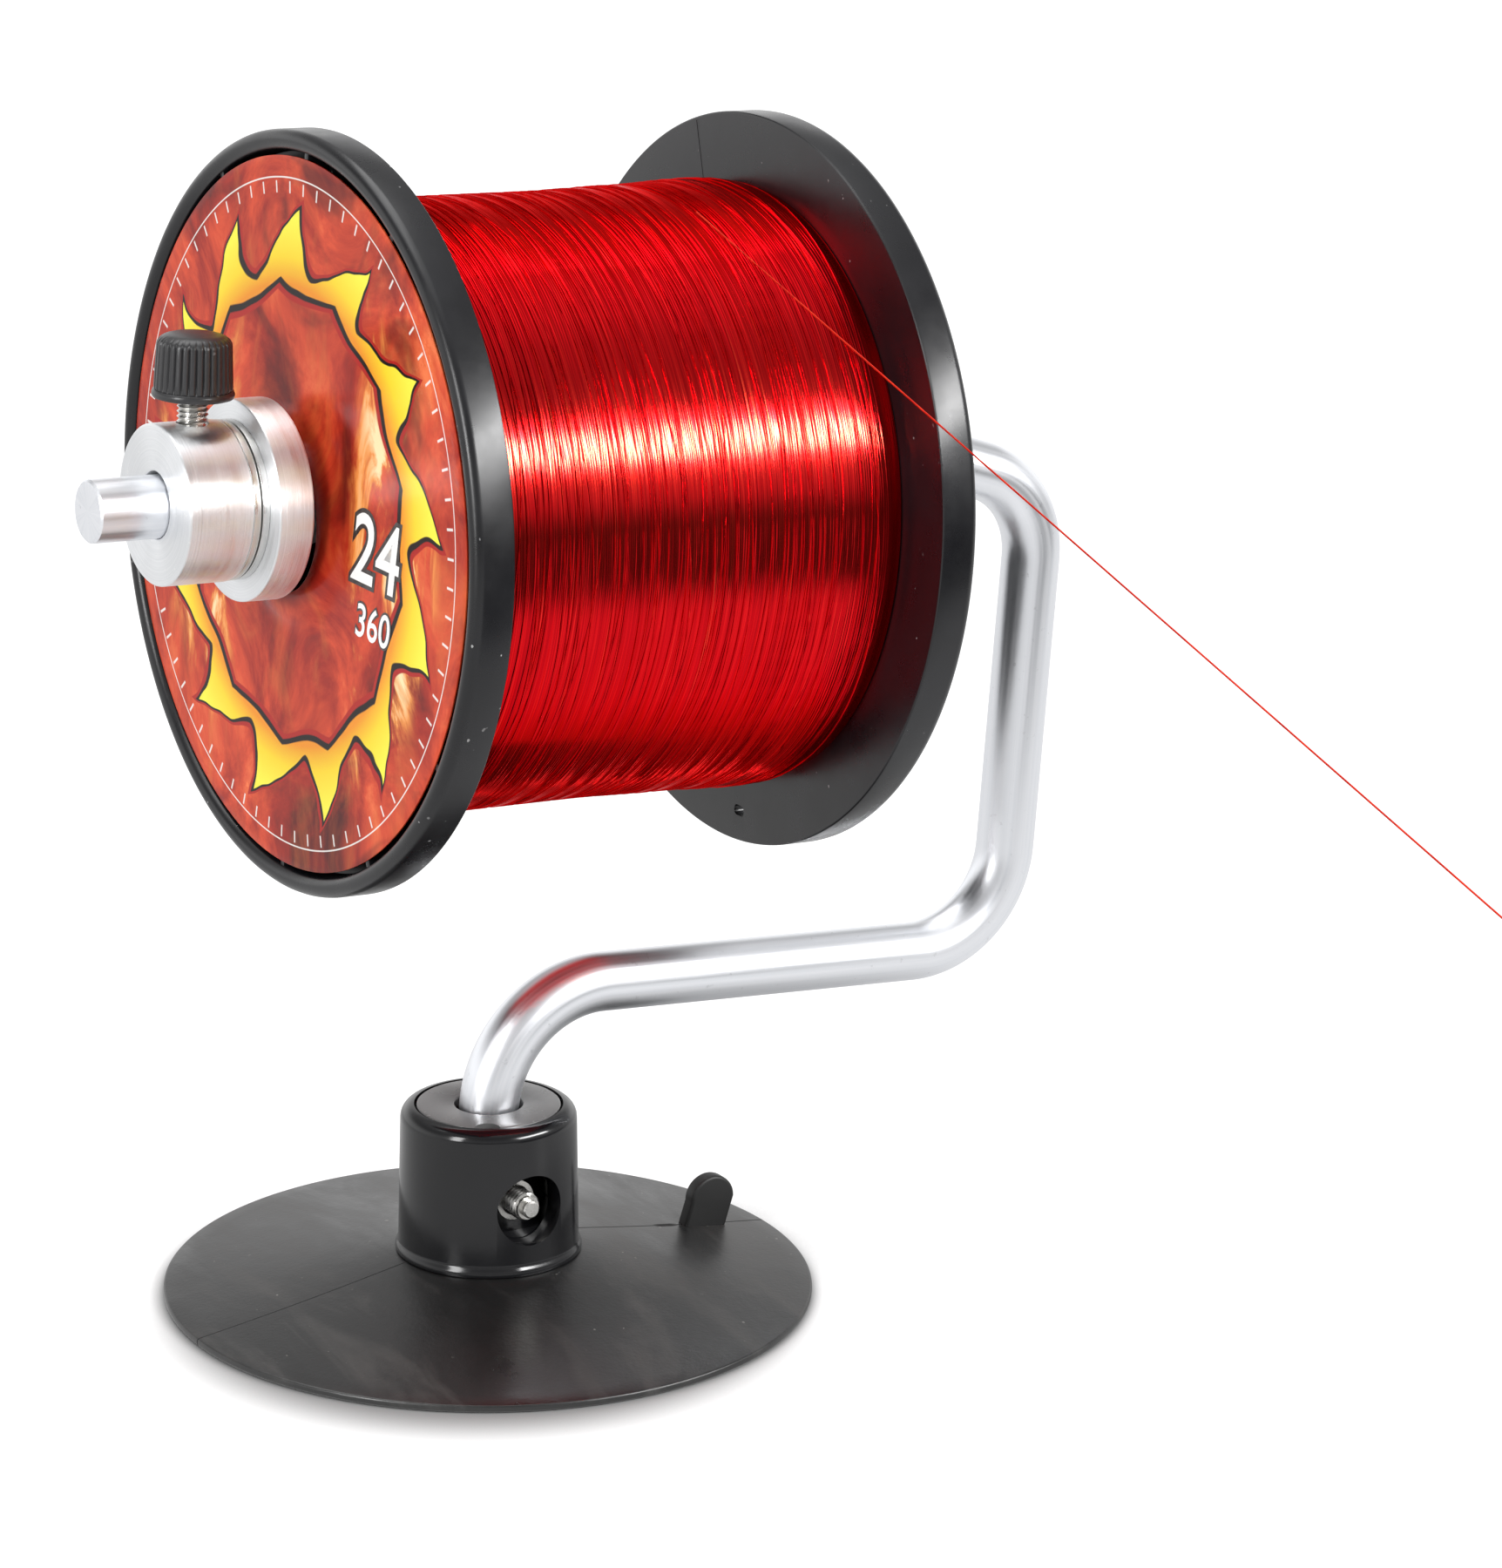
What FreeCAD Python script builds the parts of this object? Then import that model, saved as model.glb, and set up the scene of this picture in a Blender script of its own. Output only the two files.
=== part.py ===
import FreeCAD, Part

import math
import os

import Sketcher

# Fishing line winder: a suction stand with a bent rod, whose upper end is the axle of a spool of line.
# Row frame: origin in the middle of the stand's underside, +Z up, +X towards the bow of the rod.
# The axle rises a little towards its free end. "s" is a place along the axle, 0 over the stand's middle.

DIMENSIONS = [
    # suction disc
    ("disc_dia", 108.5),
    ("disc_edge", 1.2),
    ("rim_land", 2.8),
    ("hub_seat", 7.1),
    ("cup_depth", 4.2),
    ("tab_width", 8.4),
    ("tab_thick", 2.8),
    ("tab_height", 9.6),
    ("tab_radius", 41.5),
    ("tab_lean", 18),
    # socket stem moulded into the disc
    ("stem_dia", 18.0),
    ("stem_foot_dia", 22.2),
    ("stem_foot_height", 6.6),
    ("stem_plate_dia", 28.0),
    ("stem_plate_thick", 2.0),
    ("stem_top_gap", 1.0),
    ("stem_floor", 2.0),
    ("boss_dia", 9.6),
    ("boss_reach", 9.3),
    # hub housing and its cap
    ("hub_height", 25.3),
    ("hub_top_dia", 29.4),
    ("hub_foot_dia", 30.2),
    ("lip_dia", 31.2),
    ("lip_height", 0.9),
    ("lip_flare", 0.9),
    ("hub_bore", 22.6),
    ("shoulder", 2.3),
    ("cap_dia", 24.0),
    ("cap_thick", 2.0),
    ("cap_hole", 11.4),
    ("notch_dia", 4.2),
    ("notch_angle", -120),
    ("port_dia", 12.0),
    ("port_height", 11.1),
    # cross screw through the stem and the rod's foot
    ("screw_dia", 5.0),
    ("screw_length", 25.0),
    ("screw_point_dia", 3.0),
    ("screw_point", 1.3),
    ("screw_head_dia", 8.5),
    ("screw_head", 3.2),
    ("hex_across", 3.0),
    ("hex_depth", 1.8),
    ("screw_washer_dia", 9.2),
    ("screw_washer", 1.0),
    ("insert_dia", 6.8),
    ("insert_length", 3.6),
    ("insert_stand", 0.15),
    # bent rod
    ("rod_dia", 10.0),
    ("rod_end_chamfer", 0.4),
    ("foot_corner", 51.8),
    ("foot_bend", 20.0),
    ("run_fall", 4.5),
    ("low_bend", 18.0),
    ("upright_lean", 4.1),
    ("top_bend", 16.5),
    ("link_slope", 19.0),
    ("link_run", 15.0),
    ("shoulder_bend", 12.0),
    ("axle_height", 138.6),
    ("axle_tilt", 2.7),
    ("axle_stub", 11.4),
    ("axle_run_out", 1.6),
    # spool
    ("spool_centre", 9.025),
    ("spool_length", 90.35),
    ("spool_bore", 23.8),
    ("tube_wall", 2.4),
    ("flange_dia", 121.3),
    ("flange_thick", 6.9),
    ("web_thick", 2.0),
    ("bead_width", 3.3),
    ("rim_chamfer", 0.5),
    ("barrel_dia", 90.0),
    ("barrel_wall", 2.0),
    ("lap_length", 6.0),
    ("lap_wall", 1.4),
    ("rib_thick", 1.2),
    ("rib_count", 12),
    ("anchor_inset", 5.2),
    ("anchor_angle", -96),
    ("anchor_dia", 1.8),
    ("anchor_slot", 3.0),
    ("label_gap", 1.4),
    ("label_hole_gap", 0.1),
    ("label_thick", 0.3),
    ("label_recess", 0.75),
    ("winding_depth", 4.2),
    ("winding_swell", 1.0),
    # adapters, washers and collars on the axle
    ("adapter_dia", 31.9),
    ("adapter_flange", 6.0),
    ("adapter_standoff", 3.65),
    ("cone_large", 19.8),
    ("cone_small", 12.8),
    ("cone_length", 11.0),
    ("washer_thick", 1.2),
    ("washer_dia", 25.3),
    ("felt_thick", 0.3),
    ("felt_dia", 24.5),
    ("collar_dia", 25.5),
    ("collar_length", 11.0),
    ("collar_bore", 10.6),
    ("collar_lift", 0.25),
    ("edge_break", 0.35),
    # thumb screw
    ("stud_dia", 5.0),
    ("stud_offset", 0.65),
    ("stud_set", 5.85),
    ("stud_grip", 6.2),
    ("knob_height", 10.1),
    ("knob_base", 16.95),
    ("knob_ring_dia", 12.95),
    ("knob_ring", 1.3),
    ("knob_dia", 12.4),
    ("knob_top_dia", 11.8),
    ("knob_dome", 1.75),
    ("knob_crown_dia", 6.6),
    ("flute_dia", 0.7),
    ("flute_count", 32),
    ("set_screw_length", 6.4),
    # clearances
    ("running_fit", 0.08),
    ("slip_fit", 0.1),
    ("thrust_gap", 0.05),
    ("seat_gap", 0.3),
    # free line
    ("line_dia", 0.3),
    ("loop_dia", 7.0),
    ("knot_dia", 1.2),
]

# The line leaves the winding here and runs straight to its loop.
FREE_LINE_ROUTE = [(30.0, -13.8, 182.0), (30.0, -228.0, 120.95)]

doc = FreeCAD.newDocument("winder")
sheet = doc.addObject("Spreadsheet::Sheet", "sizes")
for row, (alias, number) in enumerate(DIMENSIONS, start=1):
    sheet.set("A%d" % row, alias)
    sheet.set("B%d" % row, str(number))
    sheet.setAlias("B%d" % row, alias)
doc.recompute()

nodes = []


# ---- expressions that several pieces share ----

def add(*terms):
    return "(" + " + ".join(terms) + ")"


def less(first, *terms):
    return "(" + " - ".join((first,) + terms) + ")"


def half(term):
    return "(%s / 2)" % term


def size(alias):
    return "sizes." + alias


rodRadius = half(size("rod_dia"))
spoolHalf = half(size("spool_length"))
spoolFront = less(size("spool_centre"), spoolHalf)
spoolRear = add(size("spool_centre"), spoolHalf)
flangeFace = less(spoolHalf, size("flange_thick"))

# stack in front of the spool, from the spool outwards
adapterRear = less(spoolFront, size("adapter_standoff"))
adapterFront = less(adapterRear, size("adapter_flange"))
innerWasherRear = less(adapterFront, size("thrust_gap"))
feltRear = less(innerWasherRear, size("washer_thick"))
outerWasherRear = less(feltRear, size("felt_thick"))
collarRear = less(outerWasherRear, size("washer_thick"))
collarFront = less(collarRear, size("collar_length"))
rodEnd = less(collarFront, size("axle_stub"))
studPlace = add(less(collarRear, half(size("collar_length"))), size("stud_offset"))

# stack behind the spool
rearAdapterFront = add(spoolRear, size("adapter_standoff"))
rearAdapterRear = add(rearAdapterFront, size("adapter_flange"))
rearWasherFront = add(rearAdapterRear, size("thrust_gap"))
stopFront = add(rearWasherFront, size("washer_thick"))
stopRear = add(stopFront, size("collar_length"))
shoulderStart = add(stopRear, size("axle_run_out"))
stopScrewPlace = add(stopFront, half(size("collar_length")))

# the spool hangs on the two cones, so its centre lies below the axle's
tubeFace = add(size("label_recess"), size("label_thick"))
coneSlope = "((%s - %s) / 2 / %s)" % (size("cone_large"), size("cone_small"), size("cone_length"))
coneAtBore = less(half(size("cone_large")), "%s * %s" % (coneSlope, add(size("adapter_standoff"), tubeFace)))
spoolDrop = less(half(size("spool_bore")), coneAtBore, size("seat_gap"))

capTop = add(size("hub_seat"), size("hub_height"))
capBottom = less(capTop, size("cap_thick"))
portHeight = add(size("hub_seat"), size("port_height"))
stemFloorTop = add(size("cup_depth"), size("stem_floor"))


def value(expression):
    return float(sheet.evalExpression(expression))


# ---- sketches and features ----

def newBody(label):
    body = doc.addObject("PartDesign::Body", label)
    body.Label = label
    nodes.append(body)
    return body


def newSketch(body, role, name="outline", height=None):
    sketch = body.newObject("Sketcher::SketchObject", name)
    plane = next(f for f in body.Origin.OriginFeatures if f.Role == role)
    sketch.AttachmentSupport = (plane, [""])
    sketch.MapMode = "FlatFace"
    if height is not None:
        sketch.setExpression("AttachmentOffset.Base.z", height)
    return sketch


def pin(sketch, geometry, end, x, y):
    """Holds one point of the sketch at two expressions; 0 puts it on the axis."""
    if x == "0":
        sketch.addConstraint(Sketcher.Constraint("PointOnObject", geometry, end, -2))
    else:
        held = sketch.addConstraint(Sketcher.Constraint("DistanceX", geometry, end, value(x)))
        sketch.setExpression("Constraints[%d]" % held, x)
    if y == "0":
        sketch.addConstraint(Sketcher.Constraint("PointOnObject", geometry, end, -1))
    else:
        held = sketch.addConstraint(Sketcher.Constraint("DistanceY", geometry, end, value(y)))
        sketch.setExpression("Constraints[%d]" % held, y)


def drawOutline(sketch, corners, rounds=None):
    """A closed outline. rounds gives a corner's number: (centre x, centre y, radius) of the arc that follows it."""
    rounds = rounds or {}
    spots = [FreeCAD.Vector(value(x), value(y), 0) for x, y in corners]
    starts, ends = [], []
    for number, spot in enumerate(spots):
        after = spots[(number + 1) % len(spots)]
        if number in rounds:
            x, y, radius = rounds[number]
            centre = FreeCAD.Vector(value(x), value(y), 0)
            first = math.atan2(spot.y - centre.y, spot.x - centre.x)
            last = math.atan2(after.y - centre.y, after.x - centre.x)
            ahead = (last - first) % (2 * math.pi) < math.pi
            circle = Part.Circle(centre, FreeCAD.Vector(0, 0, 1), value(radius))
            sweep = (first, last) if ahead else (last, first)
            sketch.addGeometry(Part.ArcOfCircle(circle, *sweep), False)
            starts.append(1 if ahead else 2)
        else:
            sketch.addGeometry(Part.LineSegment(spot, after), False)
            starts.append(1)
        ends.append(3 - starts[-1])
    for number in range(len(spots)):
        after = (number + 1) % len(spots)
        joined = Sketcher.Constraint("Coincident", number, ends[number], after, starts[after])
        sketch.addConstraint(joined)
    for number, (x, y) in enumerate(corners):
        pin(sketch, number, starts[number], x, y)
    for number, (x, y, radius) in rounds.items():
        held = sketch.addConstraint(Sketcher.Constraint("Radius", number, value(radius)))
        sketch.setExpression("Constraints[%d]" % held, radius)


def drawCircle(sketch, x, y, radius):
    centre = FreeCAD.Vector(value(x), value(y), 0)
    circle = Part.Circle(centre, FreeCAD.Vector(0, 0, 1), value(radius))
    number = sketch.addGeometry(circle, False)
    pin(sketch, number, 3, x, y)
    held = sketch.addConstraint(Sketcher.Constraint("Radius", number, value(radius)))
    sketch.setExpression("Constraints[%d]" % held, radius)


def turned(body, corners, rounds=None, role="XZ_Plane", axis="H_Axis"):
    """A solid of revolution: corners are (along the axis, radius), or (radius, height) about V_Axis."""
    sketch = newSketch(body, role)
    drawOutline(sketch, corners, rounds)
    feature = body.newObject("PartDesign::Revolution", "turning")
    feature.Profile = sketch
    feature.ReferenceAxis = (sketch, [axis])
    feature.Angle = 360
    doc.recompute()
    return sketch


def cut(body, sketch, depth=None, reversed_=False):
    """Cuts a sketch into the body; with no depth it goes through both ways."""
    before = body.Shape.Volume
    feature = body.newObject("PartDesign::Pocket", "cut")
    feature.Profile = sketch
    if depth is None:
        feature.Type = "ThroughAll"
        feature.Midplane = True
    else:
        feature.setExpression("Length", depth)
        feature.Reversed = reversed_
    doc.recompute()
    if feature.Shape.Volume > before - 1e-3:
        raise RuntimeError("a cut in %s removes nothing" % body.Label)
    return feature


def patterned(body, feature, axis, count):
    ring = body.newObject("PartDesign::PolarPattern", "ring")
    ring.Originals = [feature]
    ring.Axis = axis
    ring.Angle = 360
    ring.setExpression("Occurrences", count)
    body.Tip = ring
    doc.recompute()


def seat(body, along="0", above="0"):
    """Puts a body's own frame on the tilted axle, at a place along it and a height square to it."""
    tilt = value(size("axle_tilt"))
    turn = FreeCAD.Rotation(FreeCAD.Vector(0, 1, 0), tilt)
    body.Placement = FreeCAD.Placement(FreeCAD.Vector(0, 0, 0), turn)
    lean = (size("axle_tilt"),) * 2
    body.setExpression("Placement.Rotation.Angle", "%s * 1deg" % size("axle_tilt"))
    body.setExpression("Placement.Base.x", "%s * cos(%s) + %s * sin(%s)" % (along, lean[0], above, lean[1]))
    height = "%s - %s * sin(%s) + %s * cos(%s)" % (size("axle_height"), along, lean[0], above, lean[1])
    body.setExpression("Placement.Base.z", height)


# ---- stand ----

def makeDisc():
    body = newBody("suction_disc")
    rim = half(size("disc_dia"))
    land = less(rim, size("rim_land"))
    hole = add(half(size("stem_foot_dia")), size("slip_fit"))
    plate = add(half(size("stem_plate_dia")), size("slip_fit"))
    top = half(size("lip_dia"))
    turned(body, [
        (hole, size("cup_depth")), (plate, size("cup_depth")), (land, "0"), (rim, "0"),
        (rim, size("disc_edge")), (top, size("hub_seat")), (hole, size("hub_seat")),
    ], axis="V_Axis")
    # release tab: a leaning paddle that stands on the cone, in the plane of the mould's parting line
    fall = "((%s - %s) / (%s - %s))" % (size("hub_seat"), size("disc_edge"), rim, top)
    lean = "tan(%s)" % size("tab_lean")
    inner = less(size("tab_radius"), half(size("tab_width")))
    outer = add(size("tab_radius"), half(size("tab_width")))
    foot = add(size("disc_edge"), "(%s - %s) * %s" % (rim, outer, fall), "-0.4 * %s" % size("disc_edge"))
    crown = half(size("tab_width"))
    shoulder = add(foot, size("tab_height"), "-" + crown)
    slant = "%s * %s" % (less(shoulder, foot), lean)
    sketch = newSketch(body, "XZ_Plane", "paddle")
    middle = add(size("tab_radius"), slant)
    drawOutline(sketch, [
        (inner, foot), (outer, foot), (add(outer, slant), shoulder), (middle, add(shoulder, crown)),
        (add(inner, slant), shoulder),
    ], {2: (middle, shoulder, crown), 3: (middle, shoulder, crown)})
    tab = body.newObject("PartDesign::Pad", "tab")
    tab.Profile = sketch
    tab.setExpression("Length", size("tab_thick"))
    tab.Midplane = True
    doc.recompute()


def makeStem():
    body = newBody("socket_stem")
    bore = add(rodRadius, size("running_fit"))
    plateBottom = less(size("cup_depth"), size("stem_plate_thick"))
    footTop = add(size("hub_seat"), size("stem_foot_height"))
    top = less(capBottom, size("stem_top_gap"))
    stem = half(size("stem_dia"))
    foot = half(size("stem_foot_dia"))
    plate = half(size("stem_plate_dia"))
    turned(body, [
        ("0", plateBottom), (plate, plateBottom), (plate, size("cup_depth")), (foot, size("cup_depth")),
        (foot, footTop), (stem, footTop), (stem, top), (bore, top), (bore, stemFloorTop), ("0", stemFloorTop),
    ], axis="V_Axis")
    boss = newSketch(body, "XZ_Plane", "boss")
    drawCircle(boss, "0", portHeight, half(size("boss_dia")))
    pad = body.newObject("PartDesign::Pad", "screw_boss")
    pad.Profile = boss
    pad.setExpression("Length", size("boss_reach"))
    pad.Reversed = True
    doc.recompute()
    throughBore = newSketch(body, "XY_Plane", "rod_bore", stemFloorTop)
    drawCircle(throughBore, "0", "0", bore)
    cut(body, throughBore, less(top, stemFloorTop), True)
    # flat for the washer and the screw's head, cut back into the foot
    flat = newSketch(body, "XZ_Plane", "spot_face", "-" + size("boss_reach"))
    drawCircle(flat, "0", portHeight, add(half(size("screw_washer_dia")), size("seat_gap")))
    cut(body, flat, size("stem_foot_dia"))
    hole = newSketch(body, "XZ_Plane", "screw_hole")
    drawCircle(hole, "0", portHeight, add(half(size("screw_dia")), size("slip_fit")))
    cut(body, hole)
    pocket = newSketch(body, "XZ_Plane", "insert_hole", less(stem, less(size("insert_length"), size("insert_stand"))))
    drawCircle(pocket, "0", portHeight, half(size("insert_dia")))
    cut(body, pocket, size("stem_dia"), True)


def makeHub():
    body = newBody("hub_housing")
    lip = half(size("lip_dia"))
    seatHeight = size("hub_seat")
    shoulderStart = less(capTop, size("shoulder"))
    topRadius = half(size("hub_top_dia"))
    pocket = less(topRadius, size("shoulder"))
    bore = half(size("hub_bore"))
    flare = add(seatHeight, size("lip_height"))
    turned(body, [
        (bore, seatHeight), (lip, seatHeight), (lip, flare),
        (half(size("hub_foot_dia")), add(flare, size("lip_flare"))), (topRadius, shoulderStart),
        (pocket, capTop), (pocket, capBottom), (bore, capBottom),
    ], {4: (pocket, shoulderStart, size("shoulder"))}, axis="V_Axis")
    port = newSketch(body, "XZ_Plane", "port")
    drawCircle(port, "0", portHeight, half(size("port_dia")))
    cut(body, port)


def makeCap():
    body = newBody("hub_cap")
    hole = half(size("cap_hole"))
    rim = half(size("cap_dia"))
    turned(body, [(hole, capBottom), (rim, capBottom), (rim, capTop), (hole, capTop)], axis="V_Axis")
    notch = newSketch(body, "XY_Plane", "notch", capBottom)
    across = "%s * cos(%s)" % (rim, size("notch_angle"))
    back = "%s * sin(%s)" % (rim, size("notch_angle"))
    drawCircle(notch, across, back, half(size("notch_dia")))
    cut(body, notch)


def makeCrossScrew():
    seatFace = add(size("boss_reach"), size("screw_washer"))
    tip = less(seatFace, size("screw_length"))
    shank = half(size("screw_dia"))
    point = half(size("screw_point_dia"))
    head = half(size("screw_head_dia"))
    headTop = add(seatFace, size("screw_head"))
    screw = newBody("cross_screw")
    shoulder = add(tip, size("screw_point"))
    turned(screw, [
        (tip, "0"), (tip, point), (shoulder, point), (add(shoulder, size("edge_break")), shank),
        (seatFace, shank), (seatFace, head), (headTop, head), (headTop, "0"),
    ], role="YZ_Plane")
    socket = newSketch(screw, "XZ_Plane", "socket", "-" + headTop)
    drawHexagon(socket, half(size("hex_across")))
    cut(screw, socket, size("hex_depth"), True)
    washer = newBody("cross_screw_washer")
    inner = add(shank, size("slip_fit"))
    outer = half(size("screw_washer_dia"))
    turned(washer, [
        (size("boss_reach"), inner), (seatFace, inner), (seatFace, outer), (size("boss_reach"), outer),
    ], role="YZ_Plane")
    insert = newBody("stem_insert")
    face = "-" + add(half(size("stem_dia")), size("insert_stand"))
    back = add(face, size("insert_length"))
    sleeve = half(size("insert_dia"))
    turned(insert, [(face, inner), (back, inner), (back, sleeve), (face, sleeve)], role="YZ_Plane")
    for body in (screw, washer, insert):
        body.setExpression("Placement.Base.z", portHeight)


def drawHexagon(sketch, apothem):
    corner = "%s / cos(30)" % apothem
    spots = [("%s * cos(%d)" % (corner, turn), "%s * sin(%d)" % (corner, turn)) for turn in range(15, 375, 60)]
    drawOutline(sketch, spots)


def makeRod():
    body = newBody("bent_rod")
    path = newSketch(body, "XZ_Plane", "centre_line")
    corner = value(size("foot_corner"))
    fall = math.radians(value(size("run_fall")))
    lean = math.radians(value(size("upright_lean")))
    slope = math.radians(value(size("link_slope")))
    tilt = math.radians(value(size("axle_tilt")))
    height = value(size("axle_height"))
    headings = [math.pi / 2, -fall, math.pi / 2 - lean, math.pi - slope, math.pi - tilt]
    ways = [FreeCAD.Vector(math.cos(turn), math.sin(turn), 0) for turn in headings]
    radii = [size("foot_bend"), size("low_bend"), size("top_bend"), size("shoulder_bend")]
    tangents = [value(radius) * math.tan(abs(headings[n + 1] - headings[n]) / 2) for n, radius in enumerate(radii)]
    axle = FreeCAD.Vector(0, height, 0)
    shoulder = axle - ways[4] * (value(shoulderStart) + tangents[3])
    highCorner = shoulder - ways[3] * (tangents[2] + value(size("link_run")) + tangents[3])
    rise = (highCorner.y - corner + highCorner.x * math.tan(fall))
    rise = rise / (ways[2].y + ways[2].x * math.tan(fall))
    lowCorner = highCorner - ways[2] * rise
    corners = [FreeCAD.Vector(0, corner, 0), lowCorner, highCorner, shoulder]
    last = FreeCAD.Vector(0, value(stemFloorTop), 0)
    for number, spot in enumerate(corners):
        begin = spot - ways[number] * tangents[number]
        finish = spot + ways[number + 1] * tangents[number]
        path.addGeometry(Part.LineSegment(last, begin), False)
        across = (ways[number + 1] - ways[number]).normalize()
        bend = value(radii[number])
        centre = spot + across * math.hypot(bend, tangents[number])
        first = math.atan2(begin.y - centre.y, begin.x - centre.x)
        second = math.atan2(finish.y - centre.y, finish.x - centre.x)
        ahead = (second - first) % (2 * math.pi) < math.pi
        circle = Part.Circle(centre, FreeCAD.Vector(0, 0, 1), bend)
        sweep = (first, second) if ahead else (second, first)
        path.addGeometry(Part.ArcOfCircle(circle, *sweep), False)
        near, far = (1, 2) if ahead else (2, 1)
        arc = 2 * number + 1
        path.addConstraint(Sketcher.Constraint("Tangent", arc - 1, 2, arc, near))
        held = path.addConstraint(Sketcher.Constraint("Radius", arc, bend))
        path.setExpression("Constraints[%d]" % held, radii[number])
        corners[number] = (arc, far)
        last = finish
    path.addGeometry(Part.LineSegment(last, axle + ways[4] * -value(rodEnd)), False)
    for arc, far in corners:
        path.addConstraint(Sketcher.Constraint("Tangent", arc, far, arc + 1, 1))
    pin(path, 0, 1, "0", stemFloorTop)
    path.addConstraint(Sketcher.Constraint("Vertical", 0))
    # the runs' slopes, and the points on the stand's centre line that the run and the axle pass through
    turns = [(2, "-%s * 1deg" % size("run_fall")), (4, "(90 - %s) * 1deg" % size("upright_lean")),
             (6, "(180 - %s) * 1deg" % size("link_slope")), (8, "(180 - %s) * 1deg" % size("axle_tilt"))]
    for line, turn in turns:
        held = path.addConstraint(Sketcher.Constraint("Angle", line, headings[line // 2]))
        path.setExpression("Constraints[%d]" % held, turn)
    held = path.addConstraint(Sketcher.Constraint("Distance", 6, value(size("link_run"))))
    path.setExpression("Constraints[%d]" % held, size("link_run"))
    for line, place in ((2, size("foot_corner")), (8, size("axle_height"))):
        mark = path.addGeometry(Part.Point(FreeCAD.Vector(0, value(place), 0)), True)
        pin(path, mark, 1, "0", place)
        path.addConstraint(Sketcher.Constraint("PointOnObject", mark, 1, line))
    for end, place in ((1, shoulderStart), (2, rodEnd)):
        across = "%s * cos(%s)" % (place, size("axle_tilt"))
        held = path.addConstraint(Sketcher.Constraint("DistanceX", 8, end, value(across)))
        path.setExpression("Constraints[%d]" % held, across)
    section = newSketch(body, "XY_Plane", "section", stemFloorTop)
    drawCircle(section, "0", "0", rodRadius)
    doc.recompute()
    pipe = body.newObject("PartDesign::AdditivePipe", "bending")
    pipe.Profile = section
    pipe.Spine = path
    doc.recompute()
    ends = [edge for edge in pipe.Shape.Edges if edge.BoundBox.XMax < value(rodEnd) + value(size("rod_dia"))]
    rim = [edge for edge in ends if edge.Curve.TypeId == "Part::GeomCircle"][0]
    number = [edge.isSame(rim) for edge in pipe.Shape.Edges].index(True) + 1
    chamfer = body.newObject("PartDesign::Chamfer", "end_chamfer")
    chamfer.Base = (pipe, ["Edge%d" % number])
    chamfer.setExpression("Size", size("rod_end_chamfer"))
    doc.recompute()
    hole = newSketch(body, "XZ_Plane", "cross_hole")
    drawCircle(hole, "0", portHeight, add(half(size("screw_dia")), size("slip_fit")))
    cut(body, hole)


# ---- spool ----

def makeSpoolHalf(label, side):
    """One moulded half: flange, half the barrel and half the bore tube. side is - for the front, + for the rear."""
    body = newBody(label)

    def at(reach):
        return "(%s %s %s)" % (size("spool_centre"), side, reach)

    rim = half(size("flange_dia"))
    bead = half(size("bead_width"))
    beadTop = less(spoolHalf, bead)
    recess = less(rim, size("bead_width"))
    webFace = add(flangeFace, size("web_thick"))
    tube = add(half(size("spool_bore")), size("tube_wall"))
    barrel = half(size("barrel_dia"))
    inside = less(barrel, size("barrel_wall"))
    tubeEnd = less(spoolHalf, tubeFace)
    joint = half(size("thrust_gap"))
    chamfer = size("rim_chamfer")
    barrelEnd = [(at(joint), inside), (at(joint), barrel)]
    if side == "+":
        lap = less(inside, size("slip_fit"))
        lapInside = less(lap, size("lap_wall"))
        shelf = size("lap_length")
        barrelEnd = [(at(shelf), inside), (at(shelf), lapInside), (at("-" + shelf), lapInside),
                     (at("-" + shelf), lap), (at(joint), lap), (at(joint), barrel)]
    corners = [
        (at(tubeEnd), half(size("spool_bore"))), (at(joint), half(size("spool_bore"))), (at(joint), tube),
        (at(flangeFace), tube), (at(flangeFace), inside),
    ] + barrelEnd + [
        (at(flangeFace), barrel), (at(flangeFace), less(rim, chamfer)), (at(add(flangeFace, chamfer)), rim),
        (at(beadTop), rim), (at(spoolHalf), less(rim, bead)), (at(beadTop), recess),
        (at(webFace), recess), (at(webFace), tube), (at(tubeEnd), tube),
    ]
    crest = len(corners) - 6
    middle = (at(beadTop), less(rim, bead), bead)
    outline = turned(body, corners, {crest: middle, crest + 1: middle})
    # radial ribs stiffen the web and carry the label
    sketch = newSketch(body, "XZ_Plane", "rib")
    sink = half(size("tube_wall"))
    drawOutline(sketch, [
        (at(less(webFace, half(size("web_thick")))), less(tube, sink)), (at(tubeEnd), less(tube, sink)),
        (at(tubeEnd), add(recess, half(bead))), (at(less(webFace, half(size("web_thick")))), add(recess, half(bead))),
    ])
    rib = body.newObject("PartDesign::Pad", "rib")
    rib.Profile = sketch
    rib.setExpression("Length", size("rib_thick"))
    rib.Midplane = True
    doc.recompute()
    patterned(body, rib, (outline, ["H_Axis"]), size("rib_count"))
    if side == "+":
        anchor = newSketch(body, "YZ_Plane", "anchor_slot", at(flangeFace))
        anchorRadius = less(rim, size("anchor_inset"))
        across = "%s * cos(%s)" % (anchorRadius, size("anchor_angle"))
        up = "%s * sin(%s)" % (anchorRadius, size("anchor_angle"))
        reach = half(less(size("anchor_slot"), size("anchor_dia")))
        end = half(size("anchor_dia"))
        left, right = less(across, reach), add(across, reach)
        drawOutline(anchor, [
            (left, less(up, end)), (right, less(up, end)), (add(right, end), up), (right, add(up, end)),
            (left, add(up, end)), (less(left, end), up),
        ], {1: (right, up, end), 2: (right, up, end), 4: (left, up, end), 5: (left, up, end)})
        cut(body, anchor, size("web_thick"), True)
    seat(body, above="-" + spoolDrop)


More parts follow.
